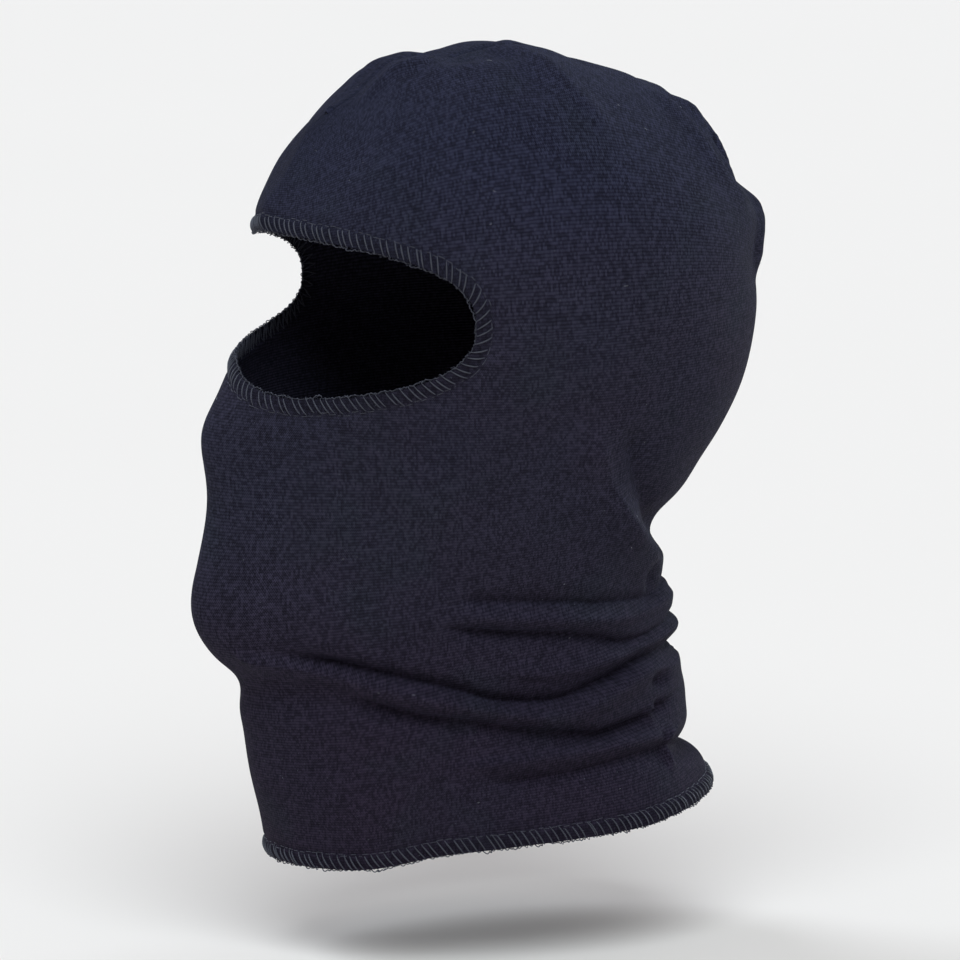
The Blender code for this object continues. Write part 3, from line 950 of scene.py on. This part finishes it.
def split_runs(path, test):
    """The unbroken runs of a closed path that pass the test and the runs that fail it."""
    count = len(path)
    start = next(k for k in range(count) if test[k] and not test[k - 1])
    order = (start + np.arange(count + 1)) % count
    passing, failing, run = [], [], [order[0]]
    for before, k in zip(order, order[1:]):
        run.append(k)
        if test[k] != test[before]:
            (passing if test[before] else failing).append(path[run])
            run = [k]
    if len(run) > 1:
        (passing if test[run[0]] else failing).append(path[run])
    return passing, failing


# ---- materials ----


class Nodes:
    """Builds a material's nodes with short calls."""

    def __init__(self, name):
        self.material = bpy.data.materials.new(name)
        self.material.use_nodes = True
        self.tree = self.material.node_tree
        self.shader = self.tree.nodes["Principled BSDF"]

    def add(self, kind, **settings):
        node = self.tree.nodes.new(kind)
        for key, value in settings.items():
            setattr(node, key, value)
        return node

    def join(self, source, socket):
        if isinstance(source, bpy.types.NodeSocket):
            self.tree.links.new(source, socket)
        else:
            socket.default_value = source

    def math(self, operation, a, b=0.0, c=0.0):
        node = self.add("ShaderNodeMath", operation=operation)
        for value, socket in zip((a, b, c), node.inputs):
            self.join(value, socket)
        return node.outputs[0]

    def times(self, a, b, plus=None):
        """The product of two values, plus a third if there is one."""
        if plus is None:
            return self.math("MULTIPLY", a, b)
        return self.math("MULTIPLY_ADD", a, b, plus)

    def mix(self, share, a, b):
        node = self.add("ShaderNodeMix", data_type="RGBA")
        self.join(share, node.inputs[0])
        self.join(a, node.inputs[6])
        self.join(b, node.inputs[7])
        return node.outputs[2]

    def noise(self, place, scale, detail=2.0, roughness=0.5):
        node = self.add("ShaderNodeTexNoise")
        self.join(place, node.inputs["Vector"])
        node.inputs["Scale"].default_value = scale
        node.inputs["Detail"].default_value = detail
        node.inputs["Roughness"].default_value = roughness
        return node.outputs["Fac"]

    def random(self, a, b):
        """A number from 0 to 1 for each pair of whole numbers."""
        pair = self.add("ShaderNodeCombineXYZ")
        self.join(a, pair.inputs[0])
        self.join(b, pair.inputs[1])
        node = self.add("ShaderNodeTexWhiteNoise", noise_dimensions="2D")
        self.join(pair.outputs[0], node.inputs["Vector"])
        return node.outputs["Value"]

    def ramp(self, value, low, high):
        node = self.add("ShaderNodeMapRange", interpolation_type="SMOOTHSTEP")
        self.join(value, node.inputs["Value"])
        node.inputs["From Min"].default_value = low
        node.inputs["From Max"].default_value = high
        return node.outputs["Result"]

    def rest_place(self):
        return self.add("ShaderNodeAttribute", attribute_name="rest_place").outputs["Vector"]

    def uv(self, name):
        node = self.add("ShaderNodeUVMap", uv_map=name)
        split = self.add("ShaderNodeSeparateXYZ")
        self.join(node.outputs[0], split.inputs[0])
        return split.outputs[0], split.outputs[1]

    def bump(self, height, strength, distance):
        node = self.add("ShaderNodeBump")
        node.inputs["Strength"].default_value = strength
        node.inputs["Distance"].default_value = distance
        self.join(height, node.inputs["Height"])
        self.join(node.outputs[0], self.shader.inputs["Normal"])

    def shade(self, colour, roughness, others=None):
        """Sets the shader's inputs and returns the material."""
        inputs = {"Base Color": colour, "Roughness": roughness, **(others or {})}
        for name, value in inputs.items():
            self.join(value, self.shader.inputs[name])
        return self.material


def wave(nodes, value):
    """A smooth wave from 0 to 1, one for each unit of the value."""
    turned = nodes.math("COSINE", nodes.times(value, 2 * math.pi))
    return nodes.times(turned, -0.5, 0.5)


# Part dye and part painted light: the knit is darker and warmer low on the neck, cooler and lighter higher
# up, and bluest and lightest on the crown.
LOWER_DYE_AND_SHADE = (0.038, 0.0310, 0.054, 1), (0.040, 0.0290, 0.052, 1)
UPPER_DYE_AND_LIGHT = (0.041, 0.0405, 0.068, 1), (0.045, 0.0385, 0.065, 1)
CROWN_DYE_AND_LIGHT = (0.0395, 0.0420, 0.0790, 1)
PATCH_DYE = (0.034, 0.043, 0.058, 1)
STITCH_GAP_SHADE = (0.0055, 0.0048, 0.0084, 1)  # painted shade between the stitches
SPECK_COLOUR = (0.12, 0.13, 0.16, 1)  # specks of lint
KNIT_SHINE = {
    "Specular IOR Level": 0.05,
    "Sheen Weight": 0.02,
    "Sheen Roughness": 0.35,
    "Sheen Tint": (0.40, 0.52, 1.00, 1),
}
THREAD_SHINE = {"Sheen Weight": 0.2, "Sheen Tint": (0.6, 0.65, 0.9, 1)}
THREAD_TONES = (0.055, 0.058, 0.079, 1), (0.015, 0.016, 0.025, 1)  # lit, and painted shade between the plies
# For the needle thread and the inner looper: lit, and painted shade between the plies.
DARK_THREAD_TONES = (0.040, 0.041, 0.060, 1), (0.012, 0.012, 0.020, 1)
DASH = 0.16  # how fast the tone changes along a course, per stitch
DYE_AND_LIGHT_Z = (-0.235, -0.150)  # the colour is cooler and lighter above these heights: part dye, part painted light from above
CROWN_LIGHT_Z = (-0.090, -0.020)  # and bluest and lightest above these: part dye, part painted light on the crown


def knit_relief(nodes, place, u, v, face):
    """The stitches' height, each stitch's own number, and the course that a place is in."""
    uneven = nodes.noise(place, 260, 2)
    offset = nodes.math("ABSOLUTE", nodes.math("SUBTRACT", nodes.math("FRACT", u), 0.5))
    slant = 1.1 if face else -0.5
    course = nodes.times(offset, slant, v)
    course = nodes.times(uneven, 0.45, course)
    legs = wave(nodes, nodes.times(offset, 2.0))
    loops = wave(nodes, course)
    leg_share = 0.35 if face else 0.25
    height = nodes.times(legs, leg_share, nodes.times(loops, 1 - leg_share))
    fuzz = nodes.noise(place, 1700, 3, 0.7)
    height = nodes.times(fuzz, 0.6, height)
    own = nodes.random(nodes.math("FLOOR", u), nodes.math("FLOOR", course))
    return nodes.times(own, 0.35, height), own, course


def knit_dash(nodes, u, course):
    """Neighbouring stitches are alike, so light and dark dashes run along the courses."""
    course_place = nodes.add("ShaderNodeCombineXYZ")
    nodes.join(nodes.times(u, DASH), course_place.inputs[0])
    nodes.join(nodes.times(nodes.math("FLOOR", course), 7.3), course_place.inputs[1])
    return nodes.ramp(nodes.noise(course_place.outputs[0], 1.0, 1), 0.3, 0.7)


def yarn_colour_and_light(nodes, place):
    """The dye, cooler and then bluer with height, and worn in patches; the change with height is part
    painted light.
    """
    broad = nodes.ramp(nodes.noise(place, 14, 2), 0.30, 0.70)
    patch = nodes.ramp(nodes.noise(place, 30, 3), 0.50, 0.75)
    upper = nodes.mix(broad, *UPPER_DYE_AND_LIGHT)
    lower = nodes.mix(broad, *LOWER_DYE_AND_SHADE)
    split = nodes.add("ShaderNodeSeparateXYZ")
    nodes.join(place, split.inputs[0])
    # Painted light by height: the knit gets lighter and cooler higher up, and bluest on the crown.
    higher_light_share = nodes.ramp(nodes.times(broad, 0.03, split.outputs[2]), *DYE_AND_LIGHT_Z)
    yarn_and_light = nodes.mix(higher_light_share, lower, upper)
    crown_light = nodes.ramp(nodes.times(broad, 0.02, split.outputs[2]), *CROWN_LIGHT_Z)
    yarn_and_light = nodes.mix(crown_light, yarn_and_light, CROWN_DYE_AND_LIGHT)
    return nodes.mix(nodes.times(patch, 0.4), yarn_and_light, PATCH_DYE)


def knit_material(name, face):
    """Plain knit: columns of V stitches on its face, rows of small arcs on its back."""
    nodes = Nodes(name)
    place = nodes.rest_place()
    u, v = nodes.uv("knit")
    height, own, course = knit_relief(nodes, place, u, v, face)
    nodes.bump(height, 0.9, 0.30 * MM)
    dash = knit_dash(nodes, u, course)
    shade = nodes.ramp(height, 0.30, 1.45)
    light = nodes.times(own, 0.52, nodes.times(dash, 0.12, 0.455))
    band = nodes.add("ShaderNodeAttribute", attribute_name="band").outputs["Fac"]
    # Painted shade: the knit is darker in the overlocked bands.
    band_shade = nodes.times(band, -0.42, 1.0)
    # The stitches' own random tone and dashes, with the bands' painted shade.
    light = nodes.times(light, band_shade)
    # Painted shade: by the stitches' height, the colour goes dark in the gaps between them.
    colour = nodes.mix(nodes.times(shade, light), STITCH_GAP_SHADE, yarn_colour_and_light(nodes, place))
    lint = nodes.ramp(nodes.noise(place, 1500, 1), 0.785, 0.81)
    colour = nodes.mix(lint, colour, SPECK_COLOUR)
    rough = nodes.times(nodes.noise(place, 700, 2), 0.2, 0.72)
    return nodes.shade(colour, rough, KNIT_SHINE)


def thread_material(name, colour, dark):
    """Twisted thread: plies wind round it, with loose hair between them."""
    nodes = Nodes(name)
    place = nodes.rest_place()
    u, v = nodes.uv("thread")
    ply = wave(nodes, nodes.times(v, 1.4, nodes.times(u, 2.0)))
    hair = nodes.noise(place, 2600, 2, 0.6)
    height = nodes.times(hair, 0.6, ply)
    nodes.bump(height, 0.6, 0.08 * MM)
    # Painted shade: the low parts of the plies' relief are darker.
    tone = nodes.mix(nodes.ramp(height, 0.2, 1.4), dark, colour)
    worn = nodes.ramp(nodes.noise(place, 60, 2), 0.4, 0.7)
    tone = nodes.mix(nodes.times(worn, 0.35), tone, dark)
    return nodes.shade(tone, 0.55, THREAD_SHINE)


def label_material():
    """Blank white satin with fine warp ribs."""
    nodes = Nodes("label_satin_look")
    place = nodes.rest_place()
    u, v = nodes.uv("label")
    ribs = wave(nodes, nodes.times(u, 60.0))
    weft = wave(nodes, nodes.times(v, 90.0))
    height = nodes.times(weft, 0.5, ribs)
    nodes.bump(height, 0.3, 0.05 * MM)
    tone = nodes.mix(nodes.noise(place, 300, 2), (0.62, 0.62, 0.60, 1), (0.80, 0.80, 0.77, 1))
    return nodes.shade(tone, 0.35)


def lint_material():
    nodes = Nodes("lint_fibre_look")
    place = nodes.rest_place()
    tone = nodes.mix(nodes.noise(place, 900, 2), (0.22, 0.23, 0.27, 1), (0.45, 0.46, 0.50, 1))
    return nodes.shade(tone, 0.6)


# ---- pieces ----


def pull_points(cut):
    """Where the face cover's pull starts and ends, along forward and up.

    It starts at the opening's corners, where the crown's piece ends, and ends at the nose.
    """
    direction = unit(np.array([0.0, -1.0, PULL_UP]))
    kept = cut.kept[CROWN_END]
    corners = cut.points[CROWN_END][kept | np.roll(kept, 1)]
    nose_row = CROWN_END + int(cut.kept[CROWN_END:, 0].argmax())
    start, end = (corners @ direction).max(), cut.points[nose_row, 0] @ direction
    return direction * start, direction * end


def follow_face(piece, sheet):
    start, end = sheet.pull
    tuple(start)
    tuple(end)
    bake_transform(piece)


def follow_neck(piece, sheet):
    """Works out the direction square to the neck's tilted rings, and bakes the piece's transform into its
    mesh.
    """
    normal = unit(np.array([0.0, -sheet.size.hem_tilt, 1.0]))
    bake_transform(piece)


def build_knit(sheet, cut, outer, inner):
    crown = knit_piece("crown_knit", cut, 0, CROWN_END, outer, inner)
    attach(crown, "hood")
    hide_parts("hood_knit")
    face = knit_piece("face_knit", cut, CROWN_END, NECK_ROW, outer, inner)
    follow_face(face, sheet)
    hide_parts("face_cover_knit")
    neck = knit_piece("neck_knit", cut, NECK_ROW, SHEET_ROWS, outer, inner)
    follow_neck(neck, sheet)
    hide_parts("neck_folds_knit", "neck_hem_knit")


def overlock(edge, thread, dark_thread):
    """The overlock's three threads round an edge, one after another: kind, paths and material."""
    for kind, template in (
        ("outer_looper", OUTER_LOOPER),
        ("inner_looper", INNER_LOOPER),
        ("needle", NEEDLE_STITCH),
    ):
        paths = [stitch_line(edge, template, THREAD)]
        if kind == "inner_looper":
            paths.append(stitch_line(edge, EDGE_CHAIN, EDGE_CHAIN_RADIUS))
        yield kind, paths, thread if kind == "outer_looper" else dark_thread


def build_opening_threads(sheet, opening, thread, dark_thread):
    edge = Edge(sheet, *opening_outline(opening))
    for kind, paths, material in overlock(edge, thread, dark_thread):
        above, below = [], []
        for path in paths:
            higher, lower = split_runs(path, path[:, 2] > sheet.size.brow_z)
            above += higher
            below += lower
        upper = tube_mesh("brow_edge_" + kind, above, material)
        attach(upper, "hood")
        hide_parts("eye_opening_" + kind + "_thread")
        lower = tube_mesh("nose_edge_" + kind, below, material)
        follow_face(lower, sheet)
        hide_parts("face_cover_" + kind + "_thread")


def build_hem_threads(sheet, thread, dark_thread):
    columns = np.arange(SHEET_COLUMNS, dtype=float)
    edge = Edge(sheet, columns, np.full(SHEET_COLUMNS, float(SHEET_ROWS)))
    for kind, paths, material in overlock(edge, thread, dark_thread):
        piece = tube_mesh("hem_edge_" + kind, paths, material, closed=True)
        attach(piece, "neck")
        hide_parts("hem_" + kind + "_thread")


# ---- inside the crown ----

ALLOWANCE_HEIGHT = 6 * MM
ALLOWANCE_HALF = 1.0 * MM
ALLOWANCE_ENDS = 26  # columns left free at each end of the seam
ALLOWANCE_WAVE = 1.3 * MM
ALLOWANCE_WAVES = 9
ALLOWANCE_STEPS = 220
ALLOWANCE_WALES = 1.2  # stitches from each line along it to the next
SEAM_THREAD = 0.2 * MM  # radius
SEAM_GAP = 0.2 * MM  # from the cloth's inner side to the seam allowance
LOOPER_DROP = 0.16, 0.88  # shares of its height: where the loopers start, and how far they go
LOOPER_TURN = 0.93, 0.1  # where along a stitch they turn under the edge, and over how much
LOOPER_LOWEST = -0.2  # mm
NEEDLE_DROP = 0.14  # share of its height where the needle line runs
NEEDLE_LIFT, NEEDLE_DIP = 0.1 * MM, 0.12 * MM


def seam_frame(sheet, places):
    """Points under the crown seam, and the direction down into the head, at places 0 to 1."""
    first, last = ALLOWANCE_ENDS, SHEET_COLUMNS // 2 - ALLOWANCE_ENDS
    column = first + (last - first) * np.asarray(places)
    point = sheet.at(column, 0 * column, -THICKNESS - SEAM_GAP + 0 * column)
    return point, -sheet.facing(column, 0 * column)


def seam_lay(sheet, places, sideways, drop):
    point, down = seam_frame(sheet, places)
    sway = ALLOWANCE_WAVE * np.sin(2 * np.pi * ALLOWANCE_WAVES * np.asarray(places))
    sway = sway * (np.asarray(drop) / ALLOWANCE_HEIGHT)
    side = np.stack([np.asarray(sideways) + sway, 0 * sway, 0 * sway], -1)
    return point + side + down * np.asarray(drop)[..., None]


def seam_thread(kind, path, thread):
    piece = tube_mesh("crown_seam_" + kind, [with_radius(path, SEAM_THREAD)], thread)
    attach(piece, "hood")
    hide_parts("crown_seam_" + kind + "_thread")


def build_allowance(sheet, knit, thread):
    """The seam's two edges of cloth, hanging inside the crown, and the threads round them."""
    length = build_seam_edges(sheet, knit)
    build_seam_threads(sheet, round(length / PITCH), thread)


def build_seam_edges(sheet, knit):
    """The two edges as one strip. Its length is handed back."""
    steps = ALLOWANCE_STEPS
    half = [(1, 0), (1, 0.33), (1, 0.66), (0.8, 0.95)]
    outline = [(-a, b) for a, b in half] + [(0, 1.02)] + half[::-1]
    places = np.arange(steps + 1) / steps
    rings = np.stack([
        seam_lay(sheet, places, np.full(steps + 1, a * ALLOWANCE_HALF),
                 np.full(steps + 1, b * ALLOWANCE_HEIGHT))
        for a, b in outline
    ], 1)
    sides = len(outline)
    faces, uvs = [], []
    length = np.linalg.norm(np.diff(rings[:, 0], axis=0), axis=1).sum()
    for k in range(steps):
        for j in range(sides):
            after = (j + 1) % sides
            here, there = k * sides, (k + 1) * sides
            faces.append((here + j, there + j, there + after, here + after))
            near, far = (length * (k + m) / steps / MM for m in (0, 1))
            low, high = ALLOWANCE_WALES * j, ALLOWANCE_WALES * (j + 1)
            uvs += [(near, low), (far, low), (far, high), (near, high)]
    faces.append(tuple(range(sides)))
    faces.append(tuple(reversed(range(steps * sides, (steps + 1) * sides))))
    uvs += [(0, 0)] * (2 * sides)
    strip = add_mesh("crown_seam_edges", rings.reshape(-1, 3), faces, [knit], "knit", uvs)
    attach(strip, "hood")
    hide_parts("crown_seam_allowance")
    return length


def build_seam_threads(sheet, count, thread):
    """A looper thread on each side, this many stitches long, and the needle thread."""
    template = np.array(OUTER_LOOPER)
    place = (np.arange(count)[:, None] + template[:, 0]) / count
    distance = 1 - template[:, 1]
    lift = np.maximum(template[:, 2], LOOPER_LOWEST) * MM + ALLOWANCE_HALF
    bottom = np.clip((distance - LOOPER_TURN[0]) / LOOPER_TURN[1], 0, 1)
    drop = (LOOPER_DROP[0] + LOOPER_DROP[1] * distance) * ALLOWANCE_HEIGHT + 0 * place
    for kind, side in (("left_looper", 1), ("right_looper", -1)):
        sideways = side * lift * (1 - bottom) + 0 * place
        path = seam_lay(sheet, np.clip(place, 0, 1).ravel(), sideways.ravel(), drop.ravel())
        seam_thread(kind, path, thread)
    place = np.arange(count * 4) / (count * 4)
    sideways = ALLOWANCE_HALF + NEEDLE_LIFT + NEEDLE_DIP * np.cos(2 * np.pi * count * place)
    drop = np.full(len(place), NEEDLE_DROP * ALLOWANCE_HEIGHT)
    seam_thread("needle", seam_lay(sheet, place, sideways, drop), thread)


LABEL_GRID = 24, 30  # across and down
LABEL_MARGIN = 0.08  # share of the CAD's label left free at each side
LABEL_TOP, LABEL_END, LABEL_SLANT = 2 * MM, 3 * MM, 5 * MM
LABEL_HALF = 0.22 * MM  # half its thickness at the top
LABEL_PUFF = 1.6  # how much thicker it is halfway down
LABEL_BOW, LABEL_CURL = 3.2 * MM, 0.7 * MM
LABEL_FOLD = math.radians(50)  # sharper than this, its edges are not smooth


def build_label(material):
    """A blank tag, folded double and hanging from the seam."""
    low, high = (np.array(corner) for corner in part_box("care_label"))
    middle_x = 0.5 * (low[0] + high[0])
    wide, tall = LABEL_GRID
    width, drop = high[1] - low[1], high[2] - low[2] - LABEL_END
    corners, uvs = [], []
    for side in (1, -1):
        for i in range(tall + 1):
            down = i / tall
            for j in range(wide + 1):
                across = j / wide
                y = low[1] + width * (LABEL_MARGIN + (1 - 2 * LABEL_MARGIN) * across)
                z = high[2] - LABEL_TOP - drop * down - LABEL_SLANT * across
                bow = (LABEL_BOW * math.sin(2.2 * down) + LABEL_CURL * math.sin(5 * across)) * down
                puff = LABEL_HALF * (1 + LABEL_PUFF * math.sin(math.pi * min(1.15 * down, 1)))
                corners.append((middle_x + bow + side * puff, y, z))
                uvs.append((across, down))
    faces = label_faces(wide, tall)
    loop_uvs = [uvs[k] for face in faces for k in face]
    label = add_mesh("blank_care_label", corners, faces, [material], "label", loop_uvs)
    label.data.set_sharp_from_angle(angle=LABEL_FOLD)
    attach(label, "hood")
    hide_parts("care_label")


def label_faces(wide, tall):
    """Quads of two sheets of vertices, one behind the other, and of the rim between them."""
    first = (tall + 1) * (wide + 1)
    faces = []
    for i in range(tall):
        for j in range(wide):
            a = i * (wide + 1) + j
            quad = (a, a + 1, a + wide + 2, a + wide + 1)
            faces.append(tuple(reversed(quad)))
            faces.append(tuple(first + k for k in quad))
    ring = list(range(wide + 1))
    ring += [i * (wide + 1) + wide for i in range(1, tall + 1)]
    ring += [tall * (wide + 1) + j for j in range(wide - 1, -1, -1)]
    ring += [i * (wide + 1) for i in range(tall - 1, 0, -1)]
    for a, b in zip(ring, ring[1:] + ring[:1]):
        faces.append((a, b, first + b, first + a))
    return faces


# ---- lint ----

LINT_RADIUS = 0.04 * MM
LINT = (  # where it lies: name, first and last row, number of fibres
    ("crown", 0, BROW_ROW, 30),
    ("face", BROW_ROW, NECK_ROW, 26),
    ("neck", NECK_ROW, SHEET_ROWS, 9),
)
LINT_POINTS = 7


def lint_paths(sheet, opening, first, last, count):
    """Short loose fibres lying on the cloth between two rows."""
    paths = []
    while len(paths) < count:
        column, row = RNG.uniform(0, SHEET_COLUMNS), RNG.uniform(first + 3, last - 3)
        heading, bend = RNG.uniform(0, 2 * np.pi), RNG.normal() * 0.9
        length = RNG.uniform(0.5, 1.8) * (1 + 1.5 * (RNG.random() < 0.12))
        if opening_share(opening, column, row) < 1.25:
            continue
        t = np.linspace(-0.5, 0.5, LINT_POINTS)
        turn = heading + bend * t
        across = column + np.cumsum(np.cos(turn)) * length / LINT_POINTS / 1.5
        down = row + np.cumsum(np.sin(turn)) * length / LINT_POINTS / 1.25
        height = (0.12 + 0.25 * RNG.random() * np.cos(np.pi * t) ** 2) * MM
        points = sheet.at(across, np.clip(down, first + 1, last - 1), height)
        paths.append(with_radius(points, LINT_RADIUS))
    return paths


def build_lint(sheet, opening, material):
    pieces = {}
    for name, first, last, count in LINT:
        paths = lint_paths(sheet, opening, first, last, count)
        pieces[name] = tube_mesh(name + "_lint", paths, material)
    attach(pieces["crown"], "hood")
    follow_face(pieces["face"], sheet)
    follow_neck(pieces["neck"], sheet)


# ---- studio ----

VIEW_AZIMUTH = math.radians(66)  # from the front towards the wearer's left
VIEW_ELEVATION = math.radians(10)
VIEW_DISTANCE = 4.0
VIEW_WIDTH = 0.36
VIEW_RIGHT, VIEW_UP = -0.0068, -0.1619  # of the frame's origin, in the view: its middle
FLOOR_DROP = 33 * MM  # the floor lies this far under the hem, clear of it when the neck is pulled down


def view_axes():
    right = Vector((math.cos(VIEW_AZIMUTH), math.sin(VIEW_AZIMUTH), 0))
    back = Vector((math.sin(VIEW_AZIMUTH), -math.cos(VIEW_AZIMUTH), 0)) * math.cos(VIEW_ELEVATION)
    back.z = math.sin(VIEW_ELEVATION)
    return right, back.cross(right), back


def add_camera():
    low, high = (Vector(corner) for corner in CAD_BOX)
    middle = 0.5 * (low + high)
    right, up, back = view_axes()
    aim = middle + right * (VIEW_RIGHT - middle.dot(right)) + up * (VIEW_UP - middle.dot(up))
    data = bpy.data.cameras.new("camera")
    data.sensor_width = 36
    data.lens = data.sensor_width * VIEW_DISTANCE / VIEW_WIDTH
    data.clip_end = 50
    camera = add_object("camera", data)
    camera.location = aim + back * VIEW_DISTANCE
    camera.rotation_euler = back.to_track_quat("Z", "Y").to_euler()
    bpy.context.scene.camera = camera


def add_sun(name, azimuth, elevation, spread, strength, colour):
    """A broad, far softbox: azimuth is from the front towards the wearer's left."""
    azimuth, elevation = math.radians(azimuth), math.radians(elevation)
    flat = math.cos(elevation)
    direction = Vector((math.sin(azimuth) * flat, -math.cos(azimuth) * flat, math.sin(elevation)))
    data = bpy.data.lights.new(name, "SUN")
    data.angle = math.radians(spread)
    data.energy = strength
    data.color = colour
    light = add_object(name, data)
    light.location = direction * 2
    light.rotation_euler = direction.to_track_quat("Z", "Y").to_euler()


SUNS = (  # name, azimuth, elevation and spread in degrees, strength, colour
    ("overhead", 68, 52, 44, 2.3, (0.82, 0.93, 1.0)),
    ("back_right", 202, 14, 28, 1.35, (0.78, 0.90, 1.0)),
    ("front_left", -62, 42, 30, 1.2, (0.80, 0.90, 1.0)),
)
WORLD_COLOUR, WORLD_STRENGTH = (1.0, 0.96, 0.98, 1), 0.27
FLOOR_REACH = 12


def build_studio():
    add_camera()
    for one in SUNS:
        add_sun(*one)
    bpy.context.scene.view_settings.view_transform = "Standard"
    world = bpy.data.worlds.new("studio")
    bpy.context.scene.world = world
    world.use_nodes = True
    background = world.node_tree.nodes["Background"].inputs
    background["Color"].default_value = WORLD_COLOUR
    background["Strength"].default_value = WORLD_STRENGTH
    floor_z = CAD_BOX[0][2] - FLOOR_DROP
    corners = [(x * FLOOR_REACH, y * FLOOR_REACH, floor_z) for x, y in ((-1, -1), (1, -1), (1, 1), (-1, 1))]
    floor = add_mesh("floor", corners, [(0, 1, 2, 3)], [floor_material()])


def floor_material():
    nodes = Nodes("floor_look")
    coordinates = nodes.add("ShaderNodeTexCoord").outputs["Object"]
    tone = nodes.mix(nodes.noise(coordinates, 3, 2), (0.872, 0.800, 0.744, 1), (0.882, 0.810, 0.754, 1))
    return nodes.shade(tone, 0.8)


# ---- the whole ----


def build():
    size = read_sizes()
    tree = knit_tree()
    shares = read_shares(tree, size)
    opening = find_opening(tree, size, np.isnan(shares))
    sheet = Sheet(size, smoothed_rows(bridged(shares)))
    sheet.raise_by(fold_relief(sheet) + wave_relief(sheet))
    sheet.raise_by(edge_relief(sheet, opening))
    cut = Cut(sheet, opening)
    sheet.pull = pull_points(cut)

    outer = knit_material("knit_face_look", True)
    inner = knit_material("knit_back_look", False)
    thread = thread_material("thread_look", *THREAD_TONES)
    dark_thread = thread_material("needle_thread_look", *DARK_THREAD_TONES)
    build_knit(sheet, cut, outer, inner)
    build_opening_threads(sheet, opening, thread, dark_thread)
    build_hem_threads(sheet, thread, dark_thread)
    build_allowance(sheet, inner, thread)
    build_label(label_material())
    build_lint(sheet, opening, lint_material())
    build_studio()


build()
